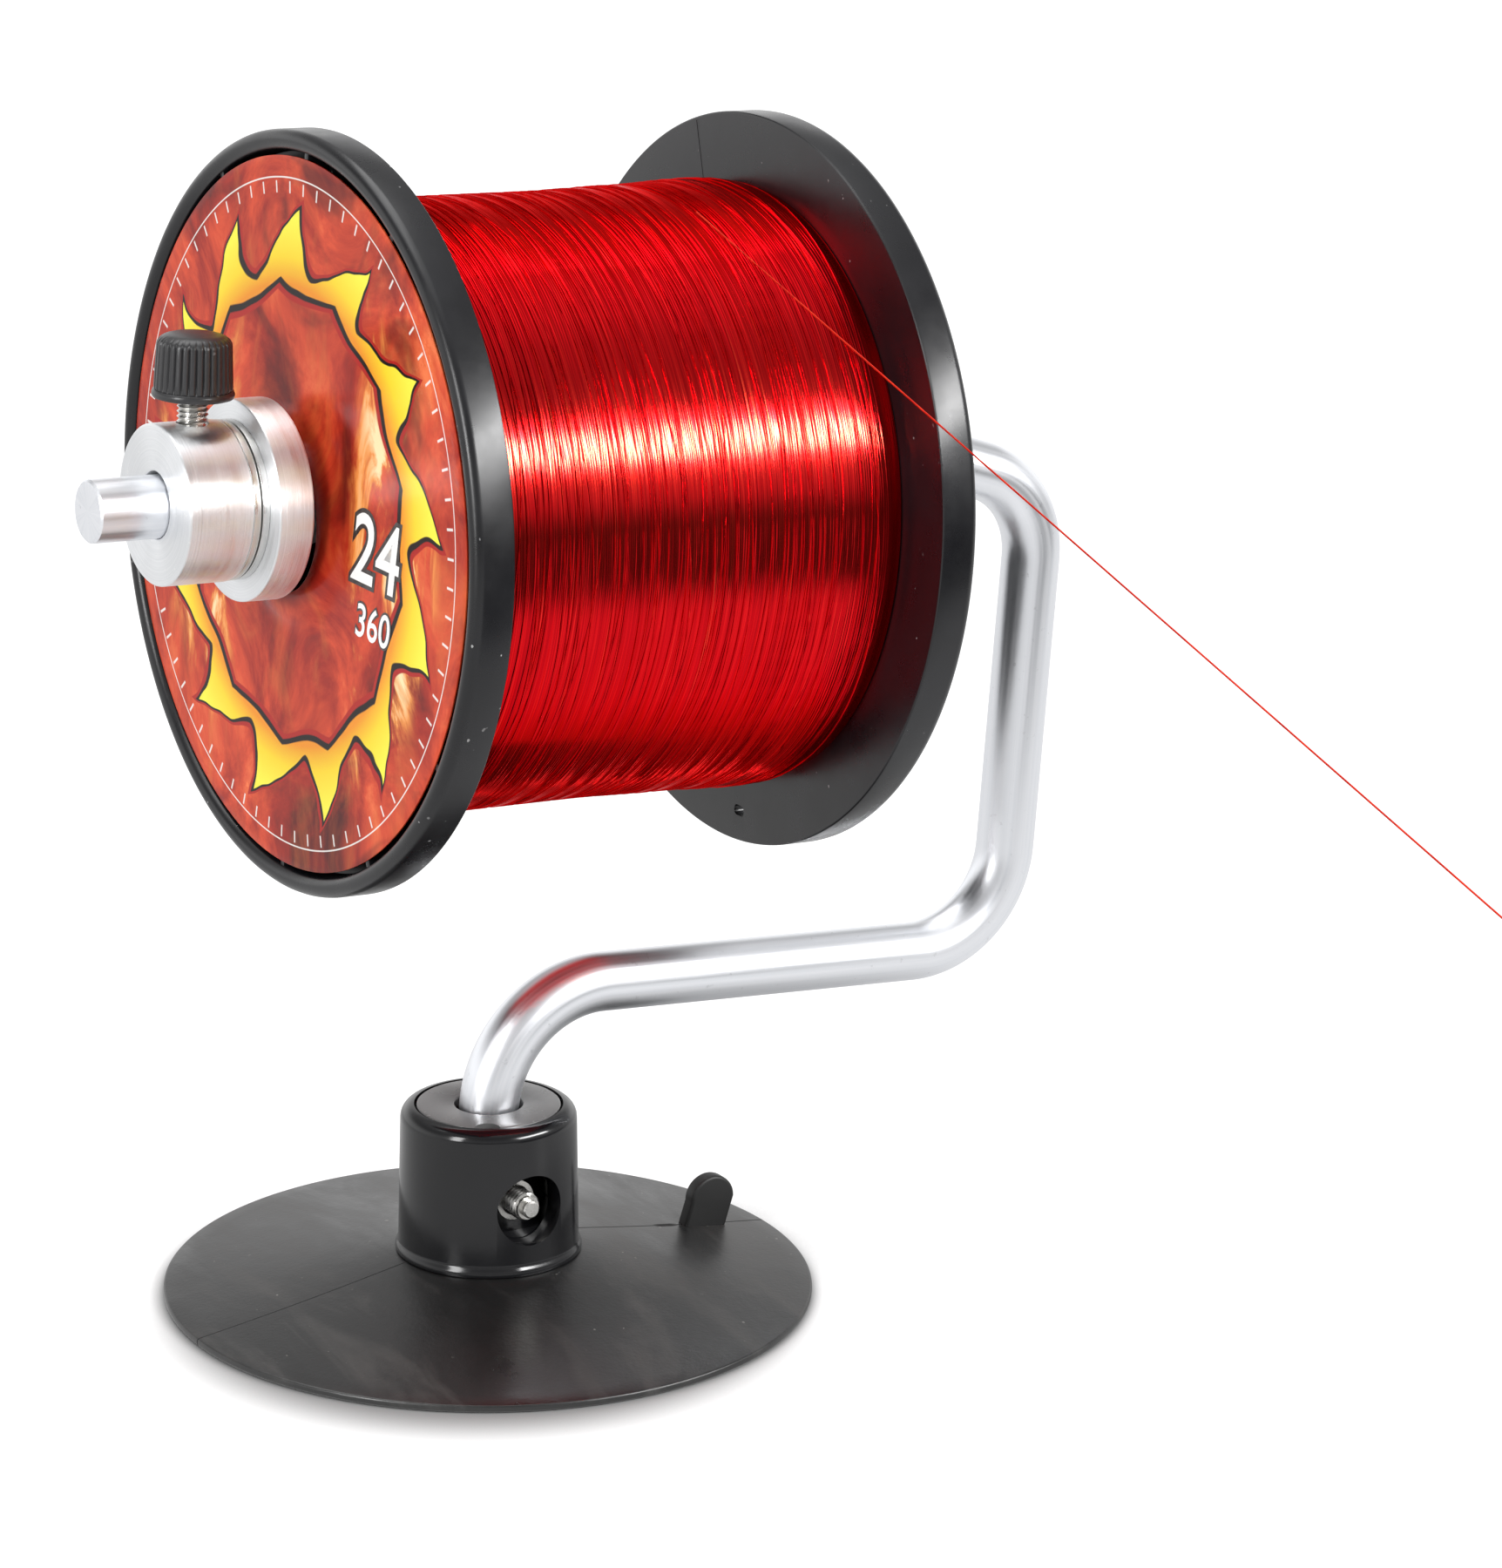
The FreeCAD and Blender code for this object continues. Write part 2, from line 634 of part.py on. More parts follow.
def makeWinding():
    body = newBody("line_winding")
    front = add(spoolFront, size("flange_thick"), size("slip_fit"))
    rear = less(spoolRear, size("flange_thick"), size("slip_fit"))
    core = add(half(size("barrel_dia")), size("slip_fit"))
    full = add(half(size("barrel_dia")), size("winding_depth"))
    swell = size("winding_swell")
    width = less(rear, front)
    corners = [(front, core), (rear, core), (rear, add(full, "0.8 * " + swell)),
               (less(rear, "%s / 10" % width), add(full, swell)), (less(rear, "%s / 4" % width), add(full, "0.4 * " + swell)),
               (add(front, "%s / 2" % width), full), (front, add(full, "0.2 * " + swell))]
    turned(body, corners)
    seat(body, above="-" + spoolDrop)


def makeLabel():
    body = newBody("front_label")
    face = add(spoolFront, size("label_recess"))
    back = add(face, size("label_thick"))
    hole = add(half(size("spool_bore")), size("label_hole_gap"))
    rim = less(half(size("flange_dia")), size("bead_width"), size("label_gap"))
    turned(body, [(face, hole), (back, hole), (back, rim), (face, rim)])
    seat(body, above="-" + spoolDrop)


# ---- pieces on the axle ----

def makeRing(label, front, rear, outerRadius, bore, lift="0"):
    body = newBody(label)
    edge = size("edge_break")
    turned(body, [
        (front, bore), (rear, bore), (rear, less(outerRadius, edge)), (less(rear, edge), outerRadius),
        (add(front, edge), outerRadius), (front, less(outerRadius, edge)),
    ])
    seat(body, above=lift)
    return body


def makeAdapter(label, flangeFar, flangeNear, side):
    """Flange with a cone that enters the spool's bore. side is + where the cone points along +X."""
    body = newBody(label)
    bore = add(rodRadius, size("running_fit"))
    rim = half(size("adapter_dia"))
    edge = size("edge_break")
    back = "-" if side == "+" else "+"
    tip = "(%s %s %s)" % (flangeNear, side, size("cone_length"))
    turned(body, [
        (flangeFar, bore), (tip, bore), (tip, half(size("cone_small"))), (flangeNear, half(size("cone_large"))),
        (flangeNear, less(rim, edge)), ("(%s %s %s)" % (flangeNear, back, edge), rim),
        ("(%s %s %s)" % (flangeFar, side, edge), rim), (flangeFar, less(rim, edge)),
    ])
    seat(body)


def drillCollar(body, place):
    """Radial screw hole through the upper wall of a collar."""
    hole = newSketch(body, "XY_Plane", "screw_hole")
    drawCircle(hole, place, "0", add(half(size("stud_dia")), size("slip_fit")))
    cut(body, hole, size("collar_dia"), True)


def makeAxlePieces():
    bore = half(size("collar_bore"))
    collar = makeRing("clamp_collar", collarFront, collarRear, half(size("collar_dia")), bore, size("collar_lift"))
    drillCollar(collar, studPlace)
    washer = half(size("washer_dia"))
    makeWasher("outer_washer", collarRear, outerWasherRear, washer, bore)
    makeWasher("friction_washer", outerWasherRear, feltRear, half(size("felt_dia")), bore)
    makeWasher("inner_washer", feltRear, innerWasherRear, washer, bore)
    makeAdapter("front_adapter", adapterFront, adapterRear, "+")
    makeAdapter("rear_adapter", rearAdapterRear, rearAdapterFront, "-")
    makeWasher("rear_washer", rearWasherFront, stopFront, washer, bore)
    closeBore = add(rodRadius, size("running_fit"))
    stop = makeRing("rear_stop_collar", stopFront, stopRear, half(size("collar_dia")), closeBore)
    drillCollar(stop, stopScrewPlace)
    makeThumbScrew()
    makeSetScrew()


def makeWasher(label, front, rear, outerRadius, bore):
    body = newBody(label)
    turned(body, [(front, bore), (rear, bore), (rear, outerRadius), (front, outerRadius)])
    seat(body, above=size("collar_lift") if label != "rear_washer" else "0")


def makeThumbScrew():
    shank = half(size("stud_dia"))
    tip = add(rodRadius, size("thrust_gap"))
    headBottom = add(size("knob_base"), half(size("knob_ring")))
    headTop = add(size("knob_base"), size("stud_set"))
    grip = half(size("stud_grip"))
    edge = size("edge_break")
    stud = newBody("thumb_stud")
    turned(stud, [
        ("0", tip), (less(shank, edge), tip), (shank, add(tip, edge)), (shank, headBottom),
        (grip, headBottom), (grip, headTop), ("0", headTop),
    ], axis="V_Axis")
    seat(stud, along=studPlace)
    knob = newBody("thumb_knob")
    gap = size("thrust_gap")
    base = size("knob_base")
    ring = half(size("knob_ring_dia"))
    ringTop = add(base, size("knob_ring"))
    crown = half(size("knob_crown_dia"))
    top = add(base, size("knob_height"))
    brow = less(top, size("knob_dome"))
    slope = less(half(size("knob_top_dia")), crown)
    turned(knob, [
        (add(shank, gap), base), (less(ring, edge), base), (ring, add(base, edge)), (ring, less(ringTop, edge)),
        (less(ring, edge), ringTop), (half(size("knob_dia")), ringTop), (half(size("knob_top_dia")), brow),
        (add(crown, "0.45 * " + slope), less(top, "0.2 * " + size("knob_dome"))), (crown, top), ("0", top),
        ("0", add(headTop, gap)), (add(grip, gap), add(headTop, gap)), (add(grip, gap), less(headBottom, gap)),
        (add(shank, gap), less(headBottom, gap)),
    ], axis="V_Axis")
    flute = newSketch(knob, "XY_Plane", "flute", ringTop)
    drawCircle(flute, half(size("knob_dia")), "0", half(size("flute_dia")))
    groove = cut(knob, flute, size("knob_height"), True)
    patterned(knob, groove, (flute, ["N_Axis"]), size("flute_count"))
    seat(knob, along=studPlace)


def makeSetScrew():
    body = newBody("rear_set_screw")
    radius = half(size("stud_dia"))
    tip = add(rodRadius, size("thrust_gap"))
    top = add(tip, size("set_screw_length"))
    edge = size("edge_break")
    turned(body, [
        ("0", tip), (less(radius, edge), tip), (radius, add(tip, edge)), (radius, top), ("0", top),
    ], axis="V_Axis")
    socket = newSketch(body, "XY_Plane", "socket", top)
    drawHexagon(socket, half(size("hex_across")))
    cut(body, socket, size("hex_depth"))
    seat(body, along=stopScrewPlace)


# ---- free line ----

def makeFreeLine():
    start, end = [FreeCAD.Vector(*spot) for spot in FREE_LINE_ROUTE]
    run = end - start
    line = doc.addObject("Part::Cylinder", "free_line")
    line.Label = "free_line"
    line.setExpression("Radius", half(size("line_dia")))
    line.Height = run.Length
    line.Placement = FreeCAD.Placement(start, FreeCAD.Rotation(FreeCAD.Vector(0, 0, 1), run))
    nodes.append(line)
    loop = doc.addObject("Part::Torus", "loop_ring")
    loop.setExpression("Radius1", half(size("loop_dia")))
    loop.setExpression("Radius2", half(size("line_dia")))
    knot = doc.addObject("Part::Sphere", "loop_knot")
    knot.setExpression("Radius", half(size("knot_dia")))
    reach = value(add(half(size("knot_dia")), size("thrust_gap")))
    way = FreeCAD.Vector(run).normalize()
    knotCentre = end + way * reach
    knot.Placement = FreeCAD.Placement(knotCentre, FreeCAD.Rotation())
    upright = FreeCAD.Rotation(FreeCAD.Vector(0, 0, 1), FreeCAD.Vector(1, 0, 0))
    loop.Placement = FreeCAD.Placement(knotCentre + way * value(half(size("loop_dia"))), upright)
    joined = doc.addObject("Part::Fuse", "line_loop")
    joined.Label = "line_loop"
    joined.Base = knot
    joined.Tool = loop
    nodes.append(joined)
    doc.recompute()
    section = math.pi * (value(size("line_dia")) / 2) ** 2
    print("free line: %.1f mm long, one straight run, no bends" % run.Length)
    print("free line volume / (section x length): %.4f" % (line.Shape.Volume / (section * run.Length)))


def checkAndWrite():
    doc.recompute()
    for thing in doc.Objects:
        if "Invalid" in thing.State or "Error" in thing.State:
            raise RuntimeError("%s (%s) failed: %s" % (thing.Name, thing.Label, thing.State))
    os.makedirs("parts", exist_ok=True)
    for node in nodes:
        shape = node.Shape
        if shape.isNull() or not shape.isValid() or not shape.Solids:
            raise RuntimeError("%s has no valid solid" % node.Label)
    for node in nodes:
        node.Shape.exportStep("parts/%s.step" % node.Label)
        box = node.Shape.BoundBox
        low = "%.1f %.1f %.1f" % (box.XMin, box.YMin, box.ZMin)
        high = "%.1f %.1f %.1f" % (box.XMax, box.YMax, box.ZMax)
        print("%-20s %9.1f mm3  %s  to  %s" % (node.Label, node.Shape.Volume, low, high))


makeDisc()
makeStem()
makeHub()
makeCap()
makeCrossScrew()
makeRod()
makeSpoolHalf("spool_front_half", "-")
makeSpoolHalf("spool_rear_half", "+")
makeWinding()
makeLabel()
makeAxlePieces()
makeFreeLine()
checkAndWrite()
print("spool drop %.3f mm" % value(spoolDrop))
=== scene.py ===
import math
import random

import bmesh
import bpy
from mathutils import Matrix, Vector


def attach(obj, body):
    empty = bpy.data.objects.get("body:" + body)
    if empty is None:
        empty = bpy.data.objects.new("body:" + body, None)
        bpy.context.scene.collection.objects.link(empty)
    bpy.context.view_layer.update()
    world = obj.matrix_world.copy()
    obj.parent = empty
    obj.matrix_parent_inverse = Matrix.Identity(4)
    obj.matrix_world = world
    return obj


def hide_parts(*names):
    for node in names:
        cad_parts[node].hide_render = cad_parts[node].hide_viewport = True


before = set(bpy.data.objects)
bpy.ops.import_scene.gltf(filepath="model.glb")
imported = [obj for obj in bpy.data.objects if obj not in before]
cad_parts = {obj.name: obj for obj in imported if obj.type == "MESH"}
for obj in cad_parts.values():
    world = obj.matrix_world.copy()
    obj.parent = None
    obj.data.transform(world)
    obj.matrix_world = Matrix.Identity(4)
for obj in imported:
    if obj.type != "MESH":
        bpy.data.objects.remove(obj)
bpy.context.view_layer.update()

mm = 0.001
scene = bpy.context.scene


# the camera and the loose line come first
cameraView = {
    "place": (-424.35, -760.41, 351.6),  # mm
    "azimuth": -31.48,
    "elevation": 16.57,
    "roll": 0.72,
    "lens": 127.85,
    "shift": (0.0294, -0.01705),
}


def newObject(name, data):
    piece = bpy.data.objects.new(name, data)
    scene.collection.objects.link(piece)
    return piece


def setCamera():
    turn = math.radians(cameraView["azimuth"])
    rise = math.radians(cameraView["elevation"])
    roll = math.radians(cameraView["roll"])
    back = Vector((math.sin(turn) * math.cos(rise), -math.cos(turn) * math.cos(rise), math.sin(rise)))
    right = Vector((math.cos(turn), math.sin(turn), 0))
    up = back.cross(right)
    tiltedRight = right * math.cos(roll) + up * math.sin(roll)
    tiltedUp = back.cross(tiltedRight)
    data = bpy.data.cameras.new("camera")
    data.lens = cameraView["lens"]
    data.sensor_width = 36
    data.shift_x, data.shift_y = cameraView["shift"]
    data.clip_start = 0.05
    data.clip_end = 20
    camera = newObject("camera", data)
    pose = Matrix((tiltedRight, tiltedUp, back)).transposed().to_4x4()
    pose.translation = Vector(cameraView["place"]) * mm
    camera.matrix_world = pose
    scene.camera = camera
    scene.view_settings.view_transform = "Standard"
    print("camera set")


class Wire:
    # an output socket that takes part in sums
    def __init__(self, tree, socket):
        self.tree, self.socket = tree, socket

    def __add__(self, other):
        return mathNode("ADD", self, other)

    def __sub__(self, other):
        return mathNode("SUBTRACT", self, other)

    def __rsub__(self, other):
        return mathNode("SUBTRACT", other, self)

    def __mul__(self, other):
        return mathNode("MULTIPLY", self, other)

    def __abs__(self):
        return mathNode("ABSOLUTE", self)


def feed(tree, node, inputs):
    for socket, value in inputs.items():
        if isinstance(value, Wire):
            tree.links.new(value.socket, node.inputs[socket])
        else:
            node.inputs[socket].default_value = value


def wires(tree, kind, names, inputs=None, **settings):
    node = tree.nodes.new(kind)
    for name, value in settings.items():
        setattr(node, name, value)
    feed(tree, node, inputs or {})
    return [Wire(tree, node.outputs[name]) for name in names]


def wire(tree, kind, name, inputs=None, **settings):
    return wires(tree, kind, [name], inputs, **settings)[0]


def mathNode(operation, *values, clamp=False):
    tree = next(value.tree for value in values if isinstance(value, Wire))
    return wire(tree, "ShaderNodeMath", 0, dict(enumerate(values)), operation=operation, use_clamp=clamp)


def axesOf(vector):
    return wires(vector.tree, "ShaderNodeSeparateXYZ", "XYZ", {"Vector": vector})


def reachOf(x, y):
    return mathNode("SQRT", x * x + y * y)


def ramp(source, stops):
    fac = wire(source.tree, "ShaderNodeValToRGB", "Color", {"Fac": source})
    elements = fac.socket.node.color_ramp.elements
    while len(elements) > 1:
        elements.remove(elements[-1])
    for number, (at, colour) in enumerate(stops):
        element = elements[0] if number == 0 else elements.new(at)
        element.position = at
        element.color = (*colour, 1)
    return fac


def span(source, low, high, newLow=0.0, newHigh=1.0, kind="LINEAR"):
    inputs = {"Value": source, "From Min": low, "From Max": high, "To Min": newLow, "To Max": newHigh}
    return wire(source.tree, "ShaderNodeMapRange", "Result", inputs, interpolation_type=kind)


def ease(source, low, high, newLow=0.0, newHigh=1.0):
    return span(source, low, high, newLow, newHigh, "SMOOTHSTEP")


def blend(share, first, second):
    # the colours are inputs 6 and 7 of this node, and its output 2
    inputs = {0: share}
    for socket, colour in ((6, first), (7, second)):
        inputs[socket] = (*colour, 1) if isinstance(colour, tuple) else colour
    return wire(share.tree, "ShaderNodeMix", 2, inputs, data_type="RGBA")


def place(tree, source="Object", scale=(1, 1, 1), shift=(0, 0, 0)):
    inputs = {"Vector": wire(tree, "ShaderNodeTexCoord", source), "Scale": scale, "Location": shift}
    return wire(tree, "ShaderNodeMapping", "Vector", inputs)


def noise(vector, scale, detail=4.0, roughness=0.55, distortion=0.0):
    inputs = {"Vector": vector, "Scale": scale, "Detail": detail, "Roughness": roughness}
    inputs["Distortion"] = distortion
    return wire(vector.tree, "ShaderNodeTexNoise", "Fac", inputs)


def bump(height, strength, distance, below=None):
    inputs = {"Height": height, "Strength": strength, "Distance": distance}
    if below is not None:
        inputs["Normal"] = below
    return wire(height.tree, "ShaderNodeBump", "Normal", inputs)


def newMaterial(name):
    material = bpy.data.materials.new(name)
    material.use_nodes = True
    return material, material.node_tree


def dress(material, colour, roughness, normal=None, **more):
    inputs = {"Base Color": colour, "Roughness": roughness}
    if normal is not None:
        inputs["Normal"] = normal
    inputs.update({name.replace("_", " "): value for name, value in more.items()})
    feed(material.node_tree, material.node_tree.nodes["Principled BSDF"], inputs)
    return material


def specksOf(spot, dust, low, area):
    # small specks, in patches
    return span(noise(spot, dust, 1, 0.4), low, 0.80) * span(noise(spot, area, 2), 0.45, 0.6)


def moldedPlastic(name, dark, light, roughness, grain, specks=0.0):
    material, tree = newMaterial(name)
    spot = place(tree)
    colour = ramp(noise(spot, 45, 5), [(0.3, dark), (0.75, light)])
    if specks:
        colour = blend(specksOf(spot, 900, 0.775, 60), colour, (specks, specks, specks))
    smear = noise(spot, 110, 6, 0.6)
    skin = bump(noise(spot, 260, 3), grain, 0.0002)
    return dress(material, colour, span(smear, 0.3, 0.75, roughness - 0.05, roughness + 0.08),
                 bump(noise(spot, 40, 2), 0.05, 0.001, skin))


# in metres: where the marks of the mould begin and end
discMarks = {
    "seam": (0.00008, 0.0003),
    "flashAt": 0.0345,
    "flashLong": (0.003, 0.0012),
    "flashWide": (0.0005, 0.0009),
}


def discRubber():
    material, tree = newMaterial("discRubber")
    spot = place(tree)
    colour = ramp(noise(spot, 22, 6, 0.6), [(0.25, (0.006, 0.006, 0.006)), (0.8, (0.012, 0.012, 0.012))])
    scuff = noise(place(tree, scale=(1, 0.25, 1)), 70, 5, 0.7, 0.6)
    colour = blend(span(scuff, 0.52, 0.80, 0, 0.6), colour, (0.085, 0.08, 0.075))
    colour = blend(specksOf(spot, 800, 0.77, 50) * 0.8, colour, (0.25, 0.24, 0.22))
    # the joint of the mould runs along X, with a torn bit of flash before the tab
    x, y, _ = axesOf(place(tree))
    side = abs(y)
    flash = span(abs(x - discMarks["flashAt"]), *discMarks["flashLong"])
    flash = flash * span(side, *discMarks["flashWide"], 1, 0)
    seam = mathNode("MAXIMUM", span(side, *discMarks["seam"], 1, 0), flash)
    colour = blend(seam * 0.9, colour, (0.003, 0.003, 0.003))
    skin = bump(noise(spot, 1400, 2), 0.22, 0.00012)
    return dress(material, colour, mathNode("MAXIMUM", span(scuff, 0.3, 0.8, 0.26, 0.50), seam),
                 bump(noise(spot, 55, 3), 0.12, 0.0012, skin), Specular_IOR_Level=0.72)


def barAluminium():
    material, tree = newMaterial("barAluminium")
    streak = noise(place(tree, "UV", (40, 9, 1)), 1, 4, 0.6)
    spot = place(tree)
    pits = noise(spot, 700, 3, 0.6)
    colour = ramp(streak, [(0.3, (0.84, 0.86, 0.90)), (0.7, (0.93, 0.94, 0.97))])
    colour = blend(span(pits, 0.66, 0.74, 0, 0.35), colour, (0.50, 0.50, 0.52))
    normal = bump(noise(spot, 120, 3), 0.06, 0.0005, bump(pits, 0.10, 0.00008))
    return dress(material, colour, span(streak, 0.3, 0.7, 0.30, 0.40), normal, Metallic=1)


def turnedMetal(name, dark, light, roughness, depth):
    material, tree = newMaterial(name)
    cuts = noise(place(tree, "UV", (0.3, 3600, 1)), 1, 4, 0.7)
    uneven = noise(place(tree, "UV", (9, 900, 1)), 1, 4, 0.6)
    nicks = noise(place(tree), 1100, 2, 0.5)
    colour = blend(span(cuts, 0.35, 0.7), blend(uneven, dark, light), light)
    colour = blend(span(nicks, 0.70, 0.76, 0, 0.9), colour, (1.0, 1.0, 1.0))
    # the lathe's cuts run round the axis, so highlights spread along it
    around = wire(tree, "ShaderNodeTangent", 0, direction_type="UV_MAP", uv_map="turns")
    return dress(material, colour, span(uneven, 0.3, 0.7, roughness - 0.06, roughness + 0.08),
                 bump(nicks, 0.12, 0.0001, bump(cuts, depth, 0.00008)),
                 Tangent=around, Metallic=1, Anisotropic=0.85, Anisotropic_Rotation=0.25)


def plainMetal(name, dark, light, roughness):
    material, tree = newMaterial(name)
    spot = place(tree)
    cloud = noise(spot, 500, 4, 0.6)
    shine = span(cloud, 0.3, 0.7, roughness - 0.05, roughness + 0.08)
    grain = bump(noise(spot, 1800, 2), 0.1, 0.00005)
    return dress(material, blend(cloud, dark, light), shine, grain, Metallic=1)


def feltCloth():
    material, tree = newMaterial("feltCloth")
    fibres = noise(place(tree), 3000, 4, 0.7)
    colour = ramp(fibres, [(0.3, (0.02, 0.018, 0.016)), (0.75, (0.09, 0.08, 0.07))])
    return dress(material, colour, 0.95, bump(fibres, 0.6, 0.0001))


def woundLine():
    material, tree = newMaterial("woundLine")
    # UV: u goes once round the spool, v is the place along it in metres
    strands = noise(place(tree, "UV", (9, 4200, 1)), 1, 2, 0.5)
    clumps = noise(place(tree, "UV", (5, 1500, 1)), 1, 3, 0.6)
    bands = noise(place(tree, "UV", (3, 260, 1)), 1, 3, 0.6)
    colour = ramp(strands * 0.55 + clumps * 0.45, [
        (0.34, (0.46, 0.003, 0.008)), (0.5, (0.68, 0.005, 0.011)),
        (0.62, (0.86, 0.010, 0.015)), (0.7, (1.0, 0.040, 0.032)),
    ])
    colour = blend(span(bands, 0.35, 0.65, 0, 0.2), colour, (0.6, 0.008, 0.011))
    return dress(material, colour, span(strands, 0.3, 0.7, 0.11, 0.16),
                 bump(clumps, 0.10, 0.00012, bump(strands, 0.30, 0.00008)),
                 Metallic=0.95, Specular_Tint=(0.8, 0.02, 0.03, 1))


def looseLineFinish():
    material, tree = newMaterial("looseLineFinish")
    colour = ramp(noise(place(tree), 260, 2), [(0.3, (0.45, 0.010, 0.006)), (0.7, (0.70, 0.035, 0.012))])
    return dress(material, colour, 0.4, Metallic=0.5, Specular_Tint=(1.0, 0.2, 0.08, 1))


# in mm, but for the counts
labelPrint = {
    "centre": 137.1,  # height of the label's middle
    "tongues": 13,
    "tongueFoot": 38.0,
    "tongueReach": 10.5,
    "tongueBow": 1.6,
    "tongueRoot": 2.0,  # how far the foot falls away between two tongues
    "curl": 0.030,  # turns of the wreath per mm of radius
    "wander": 0.5,
    "flame": (36.5, 48.5),  # radii of its colours
    "outline": 1.0,
    "trim": 0.9,
    "soft": 0.2,  # width of a printed edge
    "dial": (50.6, 52.6),
    "dialTicks": 72,
}


def flameDepth(spot, radius, angle):
    # how far a spot lies inside the wreath of curling flame tongues, in mm
    wander = (noise(spot, 60, 2) - 0.5) * labelPrint["wander"]
    turns = angle * (labelPrint["tongues"] / math.tau) + radius * labelPrint["curl"] + wander
    tooth = mathNode("POWER", mathNode("PINGPONG", turns, 0.5) * 2, labelPrint["tongueBow"])
    inside = tooth * labelPrint["tongueReach"] + labelPrint["tongueFoot"] - radius
    foot = (1 - tooth) * -labelPrint["tongueRoot"] + labelPrint["tongueFoot"]
    return mathNode("MINIMUM", inside, radius - (foot - 0.5))


def printedLabel():
    material, tree = newMaterial("printedLabel")
    centre = labelPrint["centre"] * mm
    spot = place(tree, shift=(0, 0, -centre))
    _, across, up = axesOf(spot)
    radius = reachOf(across, up) * 1000
    angle = mathNode("ARCTAN2", across, up)
    # smoke and embers
    smoke = noise(spot, 42, 7, 0.62, 1.1)
    wisps = noise(place(tree, scale=(1, 1, 0.45), shift=(0, 0, -centre * 0.45)), 60, 6, 0.6, 1.8)
    ember = noise(spot, 19, 4, 0.6, 1.6)
    colour = ramp(smoke, [
        (0.28, (0.08, 0.005, 0.004)), (0.42, (0.36, 0.020, 0.009)), (0.56, (0.68, 0.072, 0.024)),
        (0.72, (0.93, 0.21, 0.07)),
    ])
    flank = ease(abs(across * 1000), 16, 30) * ease(radius, 50, 40)
    fire = ease(wisps, 0.47, 0.70) * (flank + 0.18)
    warm = ramp(fire, [(0, (0.55, 0.07, 0.02)), (0.45, (0.88, 0.32, 0.07)), (0.9, (0.98, 0.80, 0.45))])
    colour = blend(span(fire, 0.02, 0.5, 0, 0.95), colour, warm)
    colour = blend(ease(ember, 0.46, 0.32, 0, 0.75), colour, (0.06, 0.004, 0.004))
    # the wreath, with a black outline and a thin red one round it
    depth = flameDepth(spot, radius, angle)
    flame = ramp(span(radius, *labelPrint["flame"]), [
        (0, (0.86, 0.30, 0.02)), (0.35, (0.95, 0.68, 0.03)), (0.8, (0.97, 0.88, 0.07)),
    ])
    outline = -labelPrint["outline"]
    trim = outline - labelPrint["trim"]
    for start, paint in ((trim, (0.42, 0.015, 0.010)), (outline, (0.010, 0.004, 0.003)), (0.0, flame)):
        colour = blend(span(depth, start, start + labelPrint["soft"]), colour, paint)
    # a fine white dial near the rim
    low, high = labelPrint["dial"]
    ticks = mathNode("PINGPONG", angle * (labelPrint["dialTicks"] / math.tau), 0.5)
    mark = span(ticks, 0.06, 0.03) * span(radius, low, low + 0.12) * span(radius, high, high - 0.12)
    mark = mathNode("MAXIMUM", mark, span(abs(radius - (high + 0.5)), 0.16, 0.08))
    colour = blend(mark * 0.85, colour, (0.92, 0.90, 0.86))
    # painted shade: darker where the loose film nears its hole
    colour = blend(ease(radius, 15.5, 12.1, 0, 0.8), colour, (0.24, 0.010, 0.007))
    film = bump(noise(spot, 26, 2), 0.25, 0.0012, bump(ease(radius, 11.5, 17), 0.5, 0.002))
    return dress(material, colour, span(smoke, 0.3, 0.7, 0.20, 0.28), film, Specular_IOR_Level=0.2)


def numeralInk(name, colour):
    material, tree = newMaterial(name)
    grain = noise(place(tree), 900, 2)
    colour = blend(span(grain, 0.3, 0.7, 0, 0.12), colour, (0.5, 0.42, 0.38))
    return dress(material, colour, span(grain, 0.3, 0.7, 0.26, 0.36))


finishes = {
    "rubber": discRubber(),
    "hub": moldedPlastic("hubPlastic", (0.004, 0.004, 0.005), (0.007, 0.007, 0.008), 0.15, 0.04),
    "spool": moldedPlastic("spoolPlastic", (0.004, 0.004, 0.005), (0.007, 0.007, 0.009), 0.29, 0.05, 0.35),
    "tab": moldedPlastic("tabRubber", (0.004, 0.004, 0.004), (0.008, 0.008, 0.008), 0.48, 0.15),
    # the cap is black plastic: its grey colour is painted sheen, standing in for the grazing reflection on its
    # top
    "cap": moldedPlastic("capPlasticPaintedSheen", (0.11, 0.11, 0.11), (0.16, 0.16, 0.161), 0.24, 0.08),
    "knob": moldedPlastic("knobPlastic", (0.020, 0.020, 0.021), (0.036, 0.036, 0.038), 0.33, 0.16, 0.30),
    "bar": barAluminium(),
    "turned": turnedMetal("turnedAluminium", (0.76, 0.78, 0.80), (0.94, 0.95, 0.965), 0.40, 0.5),
    "plated": turnedMetal("platedWasher", (0.50, 0.50, 0.49), (0.74, 0.735, 0.72), 0.30, 0.15),
    "screw": plainMetal("screwSteel", (0.50, 0.49, 0.47), (0.78, 0.77, 0.74), 0.26),
    "felt": feltCloth(),
    "label": printedLabel(),
    "ink": numeralInk("whiteInk", (0.96, 0.955, 0.94)),
    "outline": numeralInk("blackInk", (0.012, 0.010, 0.010)),
    "wound": woundLine(),
    "loose": looseLineFinish(),
}
print("finishes made")


axle = {"height": 138.6, "tilt": 2.7, "spoolDrop": 3.1955}


def onAxle(along, side, above):
    tilt = math.radians(axle["tilt"])
    x = along * math.cos(tilt) + above * math.sin(tilt)
    z = axle["height"] - along * math.sin(tilt) + above * math.cos(tilt)
    return Vector((x, side, z)) * mm


def onSpool(along, side, above):
    return onAxle(along, side, above - axle["spoolDrop"])


def upright(along, side, above):
    return Vector((above, side, along)) * mm


def turnsOf(count):
    return [math.tau * step / count for step in range(count)]


def ringOf(place3d, along, radius, angles):
    return [place3d(along, radius * math.sin(turn), radius * math.cos(turn)) for turn in angles]


